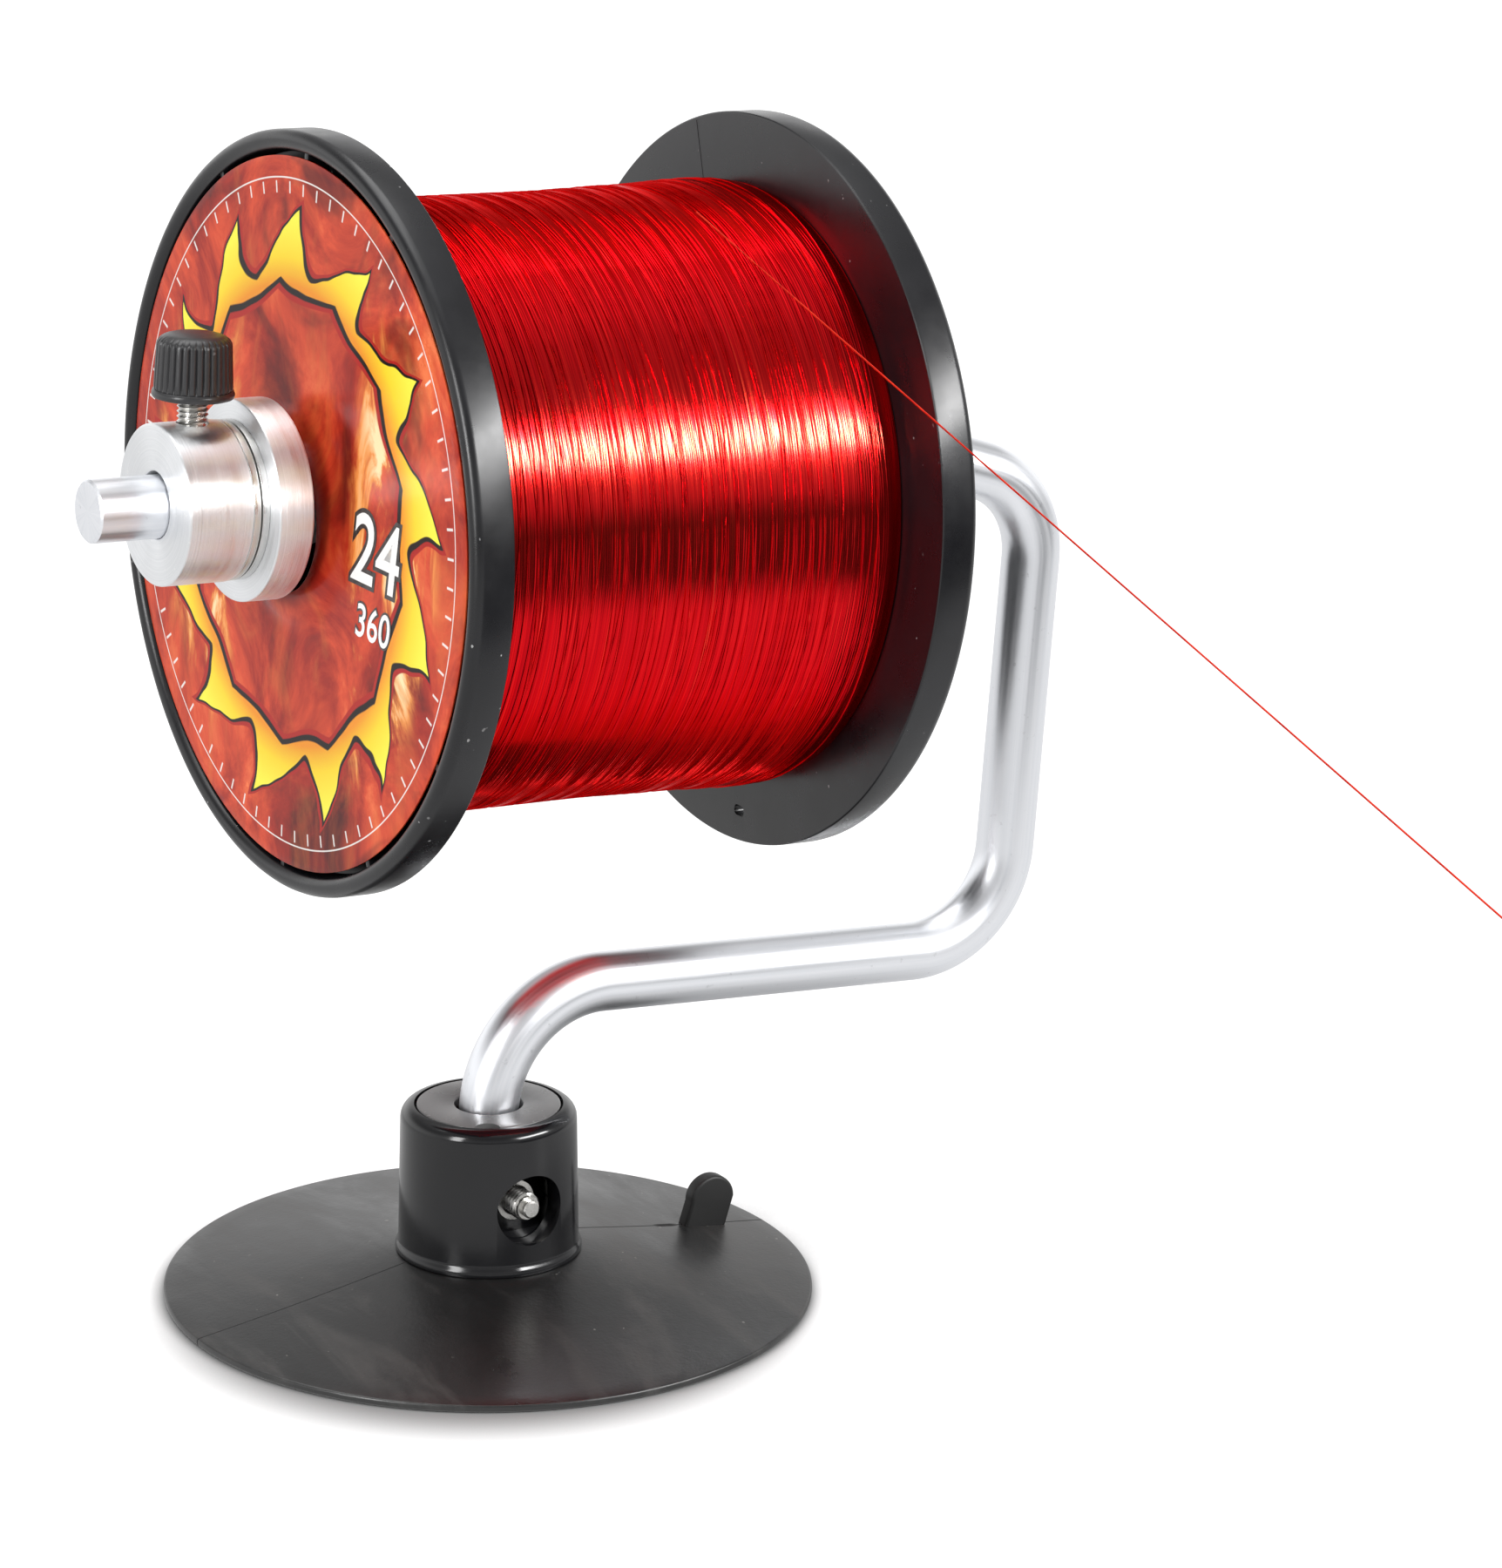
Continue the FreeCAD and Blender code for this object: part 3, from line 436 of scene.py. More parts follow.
def arcOf(along, radius, ahead, out, sweep, steps, first=0):
    turns = [sweep * step / steps for step in range(first, steps + 1)]
    return [(along + ahead * math.sin(turn), radius + out * math.cos(turn)) for turn in turns]


def eased(points, radius, keep=(), steps=3):
    corners = []
    count = len(points)
    for number, spot in enumerate(points):
        here = Vector(spot)
        if number in keep or here.y < 1e-6:
            corners.append(tuple(here))
            continue
        before = Vector(points[number - 1]) - here
        after = Vector(points[(number + 1) % count]) - here
        reach = min(radius, before.length * 0.45, after.length * 0.45)
        first = here + before.normalized() * reach
        last = here + after.normalized() * reach
        for step in range(steps + 1):
            share = step / steps
            bend = first * (1 - share) ** 2 + here * 2 * share * (1 - share) + last * share ** 2
            corners.append(tuple(bend))
    return corners


def filled(rings, least, steps, sag=0.0):
    # more rings on each stretch that is longer than least, which may sag a little
    full = []
    for first, last in zip(rings, rings[1:] + rings[:1]):
        full.append(first)
        if math.hypot(first[0] - last[0], first[1] - last[1]) > least:
            for step in range(1, steps):
                share = step / steps
                drop = sag * math.sin(share * math.pi) if first[0] + last[0] > disc["under"] + 0.5 else 0
                along = first[0] + (last[0] - first[0]) * share - drop
                full.append((along, first[1] + (last[1] - first[1]) * share))
    return full


def newMesh(bm):
    mesh = bpy.data.meshes.new("mesh")
    bm.to_mesh(mesh)
    bm.free()
    return mesh


def addPrism(bm, low, high):
    low, high = [[bm.verts.new(spot) for spot in ring] for ring in (low, high)]
    bm.faces.new(low[::-1])
    bm.faces.new(high)
    for step in range(len(low)):
        after = (step + 1) % len(low)
        bm.faces.new((low[step], low[after], high[after], high[step]))


def bevelEdges(bm, least, offset, segments):
    bmesh.ops.recalc_face_normals(bm, faces=bm.faces)
    edges = [edge for edge in bm.edges if edge.calc_face_angle(0) > math.radians(least)]
    bmesh.ops.bevel(bm, geom=edges, offset=offset * mm, segments=segments, profile=0.5, affect="EDGES")


def skinRows(rows, lengths, closedProfile=False):
    bm = bmesh.new()
    uv = bm.loops.layers.uv.new("turns")
    made = []
    for row in rows:
        same = (row[0] - row[-1]).length < 1e-9
        made.append([bm.verts.new(row[0])] * len(row) if same else [bm.verts.new(spot) for spot in row])
    count = len(rows[0])
    pairs = list(zip(range(len(rows)), range(1, len(rows))))
    if closedProfile:
        pairs.append((len(rows) - 1, 0))
    for low, high in pairs:
        top = lengths[high] if high else lengths[-1] + (rows[0][0] - rows[-1][0]).length
        for step in range(count):
            nextStep = (step + 1) % count
            corners = [
                (made[low][step], step, lengths[low]), (made[low][nextStep], step + 1, lengths[low]),
                (made[high][nextStep], step + 1, top), (made[high][step], step, top),
            ]
            seen, kept = set(), []
            for corner in corners:
                if corner[0] not in seen:
                    seen.add(corner[0])
                    kept.append(corner)
            if len(kept) < 3:
                continue
            face = bm.faces.new([corner[0] for corner in kept])
            for loop, corner in zip(face.loops, kept):
                loop[uv].uv = (corner[1] / count, corner[2])
    bmesh.ops.recalc_face_normals(bm, faces=bm.faces)
    return newMesh(bm)


def turnedMesh(profile, place3d, count=192, angles=None):
    angles = angles or turnsOf(count)
    rows = [ringOf(place3d, along, radius, angles) for along, radius in profile]
    lengths = [0.0]
    for first, last in zip(profile, profile[1:]):
        lengths.append(lengths[-1] + math.hypot(last[0] - first[0], last[1] - first[1]) * mm)
    return skinRows(rows, lengths, profile[0][1] > 1e-6 or profile[-1][1] > 1e-6)


def addPiece(name, mesh, finish, body, replaced=(), sharp=38):
    piece = newObject(name, mesh)
    mesh.name = name
    mesh.materials.append(finishes[finish])
    mesh.shade_smooth()
    mesh.set_sharp_from_angle(angle=math.radians(sharp))
    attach(piece, body)
    if replaced:
        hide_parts(*replaced)


def evaluatedMesh(piece):
    bpy.context.view_layer.update()
    return bpy.data.meshes.new_from_object(piece.evaluated_get(bpy.context.evaluated_depsgraph_get()))


def cutMesh(mesh, cutter):
    whole, tool = newObject("whole", mesh), newObject("tool", cutter)
    step = whole.modifiers.new("cut", "BOOLEAN")
    step.operation = "DIFFERENCE"
    step.solver = "EXACT"
    step.object = tool
    result = evaluatedMesh(whole)
    for helper in (whole, tool):
        bpy.data.objects.remove(helper)
    return result


def prismMesh(outline, near, far):
    # outline in (side, above) on the spool, drawn out along its axis
    bm = bmesh.new()
    addPrism(bm, *[[onSpool(along, side, above) for side, above in outline] for along in (near, far)])
    bmesh.ops.recalc_face_normals(bm, faces=bm.faces)
    return newMesh(bm)


def cylinderMesh(centre, axis, radius, length, count=96):
    bm = bmesh.new()
    turn = Vector((0, 0, 1)).rotation_difference(Vector(axis)).to_matrix().to_4x4()
    bmesh.ops.create_cone(
        bm, cap_ends=True, segments=count, radius1=radius * mm, radius2=radius * mm, depth=length * mm,
        matrix=Matrix.Translation(Vector(centre) * mm) @ turn)
    return newMesh(bm)


looseLine = {
    "start": (30.0, -13.8, 182.0),
    "end": (30.0, -228.0, 120.95),
    "thick": 0.3,
    "loopFrom": 0.15,
    "loopLong": 7.6,
    "loopWide": 5.4,
    "knotTurns": 3,
    "knotLong": 1.5,
    "knotSteps": 8,
}


def curvePiece(name, spots, replaced):
    data = bpy.data.curves.new(name, "CURVE")
    data.dimensions = "3D"
    data.bevel_depth = looseLine["thick"] / 2 * mm
    data.bevel_resolution = 3
    data.use_fill_caps = True
    spline = data.splines.new("NURBS")
    spline.points.add(len(spots) - 1)
    for point, spot in zip(spline.points, spots):
        point.co = (*(Vector(spot) * mm), 1)
    spline.order_u = 3
    spline.use_endpoint_u = True
    spline.resolution_u = 8
    data.materials.append(finishes["loose"])
    piece = newObject(name, data)
    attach(piece, "stand")
    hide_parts(replaced)
    return piece


def makeLooseLine():
    start, end = Vector(looseLine["start"]), Vector(looseLine["end"])
    way = (end - start).normalized()
    line = curvePiece("looseLine", [start, start + way * looseLine["thick"] * 6, end], "free_line")
    # tied loop: two legs leave the knot and meet in a drop shape, the knot wraps the line
    across = Vector((1, 0, 0))
    over = way.cross(across)
    long, wide = looseLine["loopLong"], looseLine["loopWide"] / 2
    base = end + way * looseLine["loopFrom"]
    leg = [(0, 0), (0.18, 0.25), (0.5, 0.95), (0.8, 1.0), (1.0, 0.5)]
    drop = leg + [(far, -aside) for far, aside in leg[::-1]]
    spots = [base + way * (long * far) + over * (wide * aside) for far, aside in drop]
    steps = looseLine["knotTurns"] * looseLine["knotSteps"]
    reach = looseLine["thick"] * 0.95
    for step in range(steps + 1):
        turn = math.tau * step / looseLine["knotSteps"]
        ahead = looseLine["knotLong"] * step / steps
        spots.append(base + way * ahead + across * (reach * math.cos(turn)) + over * (reach * math.sin(turn)))
    loop = curvePiece("tiedLoop", spots, "line_loop")
    print("loose line made")


setCamera()
makeLooseLine()


disc = {
    "rim": 54.25, "edge": 1.2, "land": 2.8, "top": 7.1, "hole": 11.2, "under": 4.2, "plate": 14.1,
    "lipRadius": 15.6, "round": 0.4, "sag": 0.25, "around": 240, "seamTurns": (0.12, 0.3),
    "tabAt": 41.5, "tabWide": 8.4, "tabThick": 2.8, "tabHigh": 9.6, "tabLean": 18, "tabRound": 0.55,
    "tabSunk": 0.48, "tabSteps": 24,
}


def makeDisc():
    rim, land = disc["rim"], disc["rim"] - disc["land"]
    profile = [
        (disc["under"], disc["hole"]), (disc["under"], disc["plate"]), (0, land), (0, rim),
        (disc["edge"], rim), (disc["top"], disc["lipRadius"]), (disc["top"], disc["hole"]),
    ]
    full = filled(eased(profile, disc["round"], keep=(0, 1, 2, 6)), 20, 12, disc["sag"])
    # finer columns along the mould's joint
    angles = turnsOf(disc["around"])
    for middle in (0, math.pi):
        for aside in disc["seamTurns"]:
            angles += [middle + math.radians(aside), middle - math.radians(aside)]
    angles = sorted(turn % math.tau for turn in angles)
    mesh = turnedMesh(full, upright, angles=angles)
    addPiece("rubberDisc", mesh, "rubber", "stand", ["suction_disc"])
    makeTab()
    print("disc made")


def makeTab():
    half, outer = disc["tabWide"] / 2, disc["tabAt"] + disc["tabWide"] / 2
    fall = (disc["top"] - disc["edge"]) / (disc["rim"] - disc["lipRadius"])
    foot = disc["edge"] + (disc["rim"] - outer) * fall - disc["tabSunk"]
    shoulder = foot + disc["tabHigh"] - half
    slant = (shoulder - foot) * math.tan(math.radians(disc["tabLean"]))
    outline = [(disc["tabAt"] - half, foot), (outer, foot)]
    for step in range(disc["tabSteps"] + 1):
        turn = math.pi * step / disc["tabSteps"]
        outline.append((disc["tabAt"] + slant + half * math.cos(turn), shoulder + half * math.sin(turn)))
    bm = bmesh.new()
    thick = disc["tabThick"] / 2
    addPrism(bm, *[[Vector((x, y, z)) * mm for x, z in outline] for y in (-thick, thick)])
    bevelEdges(bm, 40, disc["tabRound"], 4)
    addPiece("releaseTab", newMesh(bm), "tab", "stand")


hub = {
    "foot": 7.1, "top": 32.4, "lip": 15.6, "lipHigh": 0.9, "flare": 0.9, "low": 15.1, "high": 14.7,
    "bore": 11.3, "shoulder": 2.3, "portRadius": 6.0, "portHeight": 18.2,
    "capRadius": 12.0, "capThick": 2.0, "capHole": 5.7, "notch": 2.1, "notchTurn": -120, "round": 0.35,
}


def makeHub():
    top, reach, lipTop = hub["top"], hub["shoulder"], hub["foot"] + hub["lipHigh"]
    pocket, low = hub["high"] - reach, top - hub["capThick"]
    profile = [
        (hub["foot"], hub["bore"]), (hub["foot"], hub["lip"]), (lipTop, hub["lip"]),
        (lipTop + hub["flare"], hub["low"]), (top - reach, hub["high"]),
    ]
    profile = eased(profile, hub["round"], keep=(0, 4))
    profile += arcOf(top - reach, pocket, reach, reach, math.pi / 2, 8, first=1)
    profile += [(top - 0.15, pocket - 0.05), (low, pocket - 0.05), (low, hub["bore"])]
    mesh = turnedMesh(profile, upright, count=256)
    mesh = cutMesh(mesh, cylinderMesh((0, 0, hub["portHeight"]), (0, 1, 0), hub["portRadius"], 60))
    addPiece("hubHousing", mesh, "hub", "stand", ["hub_housing"], sharp=32)
    profile = [(low, hub["capHole"]), (low, hub["capRadius"]), (top, hub["capRadius"]), (top, hub["capHole"])]
    mesh = turnedMesh(eased(profile, 0.3, keep=(0, 1)), upright, count=160)
    turn = math.radians(hub["notchTurn"])
    spot = (hub["capRadius"] * math.cos(turn), hub["capRadius"] * math.sin(turn), top - 0.5)
    mesh = cutMesh(mesh, cylinderMesh(spot, (0, 0, 1), hub["notch"], 8, 48))
    addPiece("hubCap", mesh, "cap", "stand", ["hub_cap"])
    print("hub made")


rod = {
    "radius": 5.0, "chamfer": 0.4, "foot": 6.2, "corner": 51.8, "bends": (20.0, 18.0, 16.5, 12.0),
    "bendSteps": 32, "around": 72, "fall": 4.5, "lean": 4.1, "linkSlope": 19.0, "linkRun": 15.0,
    "shoulderAt": 77.7, "end": -70.95, "longRun": 12, "runSteps": 6,
}


def rodLine():
    turns = [90, -rod["fall"], 90 - rod["lean"], 180 - rod["linkSlope"], 180 - axle["tilt"]]
    ways = [Vector((math.cos(math.radians(turn)), 0, math.sin(math.radians(turn)))) for turn in turns]
    sweeps = [after - before for before, after in zip(turns, turns[1:])]
    tangents = [bend * math.tan(math.radians(abs(sweep)) / 2) for bend, sweep in zip(rod["bends"], sweeps)]
    start = Vector((0, 0, axle["height"]))
    shoulder = start - ways[4] * (rod["shoulderAt"] + tangents[3])
    high = shoulder - ways[3] * (tangents[3] + rod["linkRun"] + tangents[2])
    slope = math.tan(math.radians(rod["fall"]))
    rise = (high.z - rod["corner"] + high.x * slope) / (ways[2].z + ways[2].x * slope)
    corners = [Vector((0, 0, rod["corner"])), high - ways[2] * rise, high, shoulder]
    line = [Vector((0, 0, rod["foot"]))]
    for number, spot in enumerate(corners):
        begin = spot - ways[number] * tangents[number]
        across = (ways[number + 1] - ways[number]).normalized()
        centre = spot + across * math.hypot(rod["bends"][number], tangents[number])
        for step in range(rod["bendSteps"] + 1):
            swing = Matrix.Rotation(math.radians(-sweeps[number] * step / rod["bendSteps"]), 3, "Y")
            line.append(centre + swing @ (begin - centre))
    line.append(start - ways[4] * rod["end"])
    return line


def makeRod():
    line = rodLine()
    # long straight runs get a few more rings, for even shading
    spots = []
    for first, last in zip(line, line[1:]):
        spots.append(first)
        if (last - first).length > rod["longRun"]:
            spots += [first.lerp(last, step / rod["runSteps"]) for step in range(1, rod["runSteps"])]
    end = line[-1]
    way = (end - line[-2]).normalized()
    face = rod["radius"] - rod["chamfer"]
    spots.append(end - way * rod["chamfer"])
    radii = [rod["radius"]] * len(spots) + [face + 0.05]
    spots.append(end - way * 0.05)
    for share in (0.9, 0.5, 0.0):
        spots.append(end.copy())
        radii.append(face * share)
    side = Vector((0, 1, 0))
    rows, lengths, far = [[spots[0] * mm] * rod["around"]], [0.0], 0.0
    for number, spot in enumerate(spots):
        ahead = spots[min(number + 1, len(spots) - 4)] - spots[max(number - 1, 0)]
        if ahead.length < 1e-6 or number >= len(spots) - 5:
            ahead = way
        out = side.cross(ahead.normalized())
        rows.append([(spot + (out * math.cos(turn) + side * math.sin(turn)) * radii[number]) * mm
                     for turn in turnsOf(rod["around"])])
        if number:
            far += (spot - spots[number - 1]).length * mm
        lengths.append(far)
    addPiece("bentBar", skinRows(rows, lengths), "bar", "stand", ["bent_rod"])
    print("rod made")


def threadedMesh(place3d, low, high, screw, head, tip=0.5, count=40, perPitch=8):
    radius, pitch, depth = screw["radius"], screw["pitch"], screw["depth"]
    rings = [(low, max(radius - depth - 0.1, 0.2), 0.0), (low + tip, radius - depth, 0.3)]
    along = low + tip + pitch / perPitch
    while along < high:
        rings.append((along, radius, 1.0))
        along += pitch / perPitch
    rings += [(height, reach, 0.0) for height, reach in head]
    rows, lengths = [[place3d(low, 0, 0)] * count], [0.0]
    for along, reach, share in rings:
        row = []
        for number, turn in enumerate(turnsOf(count)):
            phase = (along / pitch - number / count) % 1
            size = reach - depth * share * (1 - abs(phase * 2 - 1)) ** 0.8
            row.append(place3d(along, size * math.sin(turn), size * math.cos(turn)))
        rows.append(row)
        lengths.append((along - low) * mm)
    rows.append([place3d(rings[-1][0], 0, 0)] * count)
    lengths.append(lengths[-1])
    return skinRows(rows, lengths)


crossScrew = {
    "radius": 2.5, "pitch": 0.8, "depth": 0.42, "tip": -14.7, "pointLong": 1.3, "pointRadius": 1.5,
    "headAt": 10.3, "headRadius": 4.25, "headHigh": 3.2,
}


def makeCrossScrew():
    def along(far, side, above):
        return Vector((side, far, hub["portHeight"] + above)) * mm

    tip, radius = crossScrew["tip"], crossScrew["pointRadius"]
    at, wide = crossScrew["headAt"], crossScrew["headRadius"]
    low, high = tip + crossScrew["pointLong"], at + crossScrew["headHigh"]
    point = [(tip, 0), (tip, radius - 0.3), (tip + 0.25, radius), (low, radius), (low, 0)]
    point = turnedMesh(point, along, 40)
    head = [(at, crossScrew["radius"]), (at, wide - 0.25), (at + 0.2, wide)]
    head += [(high - 0.4, wide), (high, wide - 0.45)]
    mesh = threadedMesh(along, low - 0.05, at - 0.5, crossScrew, head)
    addPiece("crossScrew", mesh, "screw", "stand", ["cross_screw"], sharp=50)
    addPiece("crossScrewPoint", point, "screw", "stand")


thumbScrew = {
    "at": -53.4, "radius": 2.5, "pitch": 0.8, "depth": 0.42, "tip": 5.05, "base": 16.95, "headTop": 22.8,
    "headRadius": 3.1, "ring": 6.475, "ringHigh": 1.3, "grip": 6.2, "gripTop": 5.9, "high": 10.1,
    "dome": 1.75, "crown": 3.3, "flutes": 32, "fluteDeep": 0.36, "fluteSteps": 10,
    "seatDeep": 0.8, "fit": 0.05,
}


def makeThumbScrew():
    def along(far, side, above):
        return onAxle(thumbScrew["at"] + above, side, far)

    base, ring, crown = thumbScrew["base"], thumbScrew["ring"], thumbScrew["crown"]
    grip, gripTop, fit = thumbScrew["grip"], thumbScrew["gripTop"], thumbScrew["fit"]
    seat, wide, headTop = base + thumbScrew["seatDeep"], thumbScrew["headRadius"], thumbScrew["headTop"]
    head = [(seat, thumbScrew["radius"]), (seat, wide), (headTop, wide)]
    mesh = threadedMesh(along, thumbScrew["tip"], seat, thumbScrew, head)
    addPiece("thumbStud", mesh, "screw", "thumb_stud", ["thumb_stud"], sharp=50)
    ringTop, top = base + thumbScrew["ringHigh"], base + thumbScrew["high"]
    brow, low = top - thumbScrew["dome"], ringTop + 0.35
    bore = thumbScrew["radius"] + fit
    # each ring: height, radius and how deep the flutes are there; the first five are the seat on the stud
    rings = [
        (headTop + fit, 0, 0), (headTop + fit, wide + fit, 0), (seat - fit, wide + fit, 0),
        (seat - fit, bore, 0), (base, bore, 0),
        (base, ring - 0.5, 0), (base + 0.12, ring - 0.15, 0), (base + 0.45, ring, 0),
        (ringTop - 0.5, ring, 0), (ringTop - 0.12, ring - 0.12, 0), (ringTop, ring - 0.3, 0),
        (ringTop + 0.02, grip - 0.15, 0.2), (low, grip - 0.02, 1),
    ]
    for step in range(1, 6):
        rings.append((low + (brow - low) * step / 5, grip + (gripTop - grip) * step / 5, 1))
    dome = arcOf(brow, crown, thumbScrew["dome"] * 0.93, gripTop - crown, math.pi / 2, 6, first=1)
    rings += [(far, reach, max(0.0, 1 - (step + 1) / 3.5)) for step, (far, reach) in enumerate(dome)]
    rings += [(top - 0.05, crown * 0.7, 0), (top, crown * 0.3, 0), (top, 0, 0)]
    steps = thumbScrew["fluteSteps"]
    rows, lengths = [], []
    for far, reach, share in rings:
        row = []
        for number, turn in enumerate(turnsOf(thumbScrew["flutes"] * steps)):
            groove = max(0.0, math.cos(math.tau * ((number / steps) % 1)) * 1.25 - 0.25)
            size = reach - thumbScrew["fluteDeep"] * share * groove
            row.append(along(far, size * math.sin(turn), size * math.cos(turn)))
        rows.append(row)
        lengths.append((far - base) * mm if len(lengths) > 3 else 0.0)
    lengths[-1] = lengths[-2]
    mesh = skinRows(rows, lengths)
    addPiece("thumbKnob", mesh, "knob", "thumb_knob", ["thumb_knob"], sharp=45)
    print("thumb screw made")


stack = {
    "bore": 5.08, "collarBore": 5.3, "collarLift": 0.25, "collarRadius": 12.75, "washerRadius": 12.65,
    "feltRadius": 12.25, "adapterRadius": 15.95, "cone": (9.9, 6.4, 11.0), "screwHole": 2.6,
    "collar": (-59.55, -48.55), "outerWasher": (-48.55, -47.35), "friction": (-47.35, -47.05),
    "innerWasher": (-47.05, -45.85), "adapter": (-45.8, -39.8),
    "rearAdapter": (57.85, 63.85), "rearWasher": (63.9, 65.1), "rearCollar": (65.1, 76.1),
}


def makeRing(name, ends, radius, bore, looks, body, node, lift=0.0, hole=None):
    def lifted(along, side, above):
        return onAxle(along, side, above + lift)

    front, rear = ends
    finish, slot, edge = looks
    profile = eased([(front, bore), (rear, bore), (rear, radius), (front, radius)], edge)
    mesh = turnedMesh(profile, lifted)
    if hole is not None:
        up = onAxle(0, 0, 1) / mm - onAxle(0, 0, 0) / mm
        mesh = cutMesh(mesh, cylinderMesh(onAxle(hole, 0, 10) / mm, up, stack["screwHole"], 12, 48))
    addPiece(name, mesh, finish, body, [node], sharp=45)


def makeAdapter(name, far, near, side, node):
    wide, narrow, length = stack["cone"]
    end = near + side * length
    profile = [(far, stack["bore"]), (end, stack["bore"]), (end, narrow), (near, wide),
               (near, stack["adapterRadius"]), (far, stack["adapterRadius"])]
    mesh = turnedMesh(eased(profile, 0.35, keep=(3,)), onAxle)
    addPiece(name, mesh, "turned", node, [node], sharp=45)


def makeStack():
    lift, bore = stack["collarLift"], stack["collarBore"]
    wide, washer = stack["collarRadius"], stack["washerRadius"]
    # finish, slot and how far the edges are rounded
    turned, plated = ("turned", "turned_aluminium", 0.4), ("plated", "plated_steel", 0.12)
    felt = ("felt", "fibre_dark", 0.05)
    rear = stack["rearCollar"]
    makeRing("clampCollar", stack["collar"], wide, bore, turned, "collar", "clamp_collar", lift,
             thumbScrew["at"])
    makeRing("outerWasher", stack["outerWasher"], washer, bore, plated, "collar", "outer_washer", lift)
    makeRing("frictionWasher", stack["friction"], stack["feltRadius"], bore, felt, "collar", "friction_washer",
             lift)
    makeRing("innerWasher", stack["innerWasher"], washer, bore, plated, "collar", "inner_washer", lift)
    makeAdapter("frontAdapter", *stack["adapter"], 1, "front_adapter")
    makeAdapter("rearAdapter", *stack["rearAdapter"][::-1], -1, "rear_adapter")
    makeRing("rearWasher", stack["rearWasher"], washer, bore, plated, "stand", "rear_washer")
    makeRing("rearCollar", rear, wide, stack["bore"], turned, "stand", "rear_stop_collar", hole=sum(rear) / 2)
    print("stack made")


spool = {
    "front": -36.15, "rear": 54.2, "middle": 9.025, "bore": 11.9, "tube": 14.3, "rim": 60.65, "flange": 6.9,
    "web": 2.0, "bead": 3.3, "barrel": 45.0, "barrelWall": 2.0, "ribs": 12, "ribThick": 1.2, "ribRound": 0.15,
    "tubeBack": 1.05, "lap": 6.0, "lapWall": 1.4, "lapGap": 0.1, "seamGap": 0.025, "round": 0.5,
    # how far the ribs run on into the tube, the web and the bead
    "ribRoot": 0.8, "ribFoot": 0.5, "ribTip": 0.2,
    "anchor": {"inset": 5.2, "angle": -96, "wide": 1.8, "long": 3.0},
    "weld": {"angle": 18.5, "wide": 0.16, "deep": 0.10, "from": 50, "inset": 0.6},
}


def makeSpoolHalf(name, side, node):
    end = spool["front"] if side < 0 else spool["rear"]
    face = end - side * spool["flange"]
    webFace = face + side * spool["web"]
    bead, rim = spool["bead"] / 2, spool["rim"]
    middle = spool["middle"] + side * spool["seamGap"]
    barrel, inside = spool["barrel"], spool["barrel"] - spool["barrelWall"]
    tubeEnd = end - side * spool["tubeBack"]
    profile = [
        (tubeEnd, spool["bore"]), (middle, spool["bore"]), (middle, spool["tube"]), (face, spool["tube"]),
        (face, inside),
    ]
    if side < 0:
        profile += [(middle, inside), (middle, barrel)]
    else:
        shelf, nose = spool["middle"] + spool["lap"], spool["middle"] - spool["lap"]
        lap = inside - spool["lapGap"]
        under = lap - spool["lapWall"]
        profile += [(shelf, inside), (shelf, under), (nose, under), (nose, lap), (middle, lap), (middle, barrel)]
    profile += [(face, barrel)]
    keep = tuple(range(len(profile))) + tuple(range(len(profile) + 1, len(profile) + 14))
    profile += [(face, rim)] + arcOf(end - side * bead, rim - bead, side * bead, bead, math.pi, 12)
    profile += [(webFace, rim - spool["bead"]), (webFace, spool["tube"]), (tubeEnd, spool["tube"])]
    mesh = turnedMesh(eased(profile, spool["round"], keep=keep), onSpool, count=288)
    if side > 0:
        mesh = cutMesh(mesh, prismMesh(anchorOutline(), face - 1, webFace + 1))
        mesh = cutMesh(mesh, prismMesh(weldOutline(), face - 1, face + spool["weld"]["deep"]))
    addPiece(name, mesh, "spool", "spool", [node], sharp=32)
    makeRibs(name + "Ribs", webFace, tubeEnd, rim - spool["bead"] + spool["ribTip"])


def anchorOutline():
    anchor = spool["anchor"]
    turn = math.radians(anchor["angle"])
    reach, end = spool["rim"] - anchor["inset"], anchor["wide"] / 2
    slide = (anchor["long"] - anchor["wide"]) / 2
    spots = []
    for step in range(32):
        swing = math.tau * (step + 0.5) / 32
        aside = slide if math.cos(swing) > 0 else -slide
        spots.append((reach * math.cos(turn) + aside + end * math.cos(swing),
                      reach * math.sin(turn) + end * math.sin(swing)))
    return spots


def aroundSpool(radius, aside, turn):
    across, out = math.cos(turn), math.sin(turn)
    return (radius * out + aside * across, radius * across - aside * out)


def weldOutline():
    weld = spool["weld"]
    half, outer, inner = weld["wide"] / 2, spool["rim"] - weld["inset"], weld["from"]
    corners = ((inner, -half), (outer, -half), (outer, half), (inner, half))
    return [aroundSpool(far, aside, math.radians(weld["angle"])) for far, aside in corners]


def makeRibs(name, webFace, tubeEnd, reach):
    bm = bmesh.new()
    thick, low = spool["ribThick"] / 2, spool["tube"] - spool["ribRoot"]
    web = webFace - math.copysign(spool["ribFoot"], tubeEnd - webFace)
    corners = ((web, low), (tubeEnd, low), (tubeEnd, reach), (web, reach))
    for turn in turnsOf(spool["ribs"]):
        addPrism(bm, *[[onSpool(along, *aroundSpool(radius, aside, turn)) for along, radius in corners]
                       for aside in (-thick, thick)])
    bevelEdges(bm, 57, spool["ribRound"], 2)
    addPiece(name, newMesh(bm), "spool", "spool")


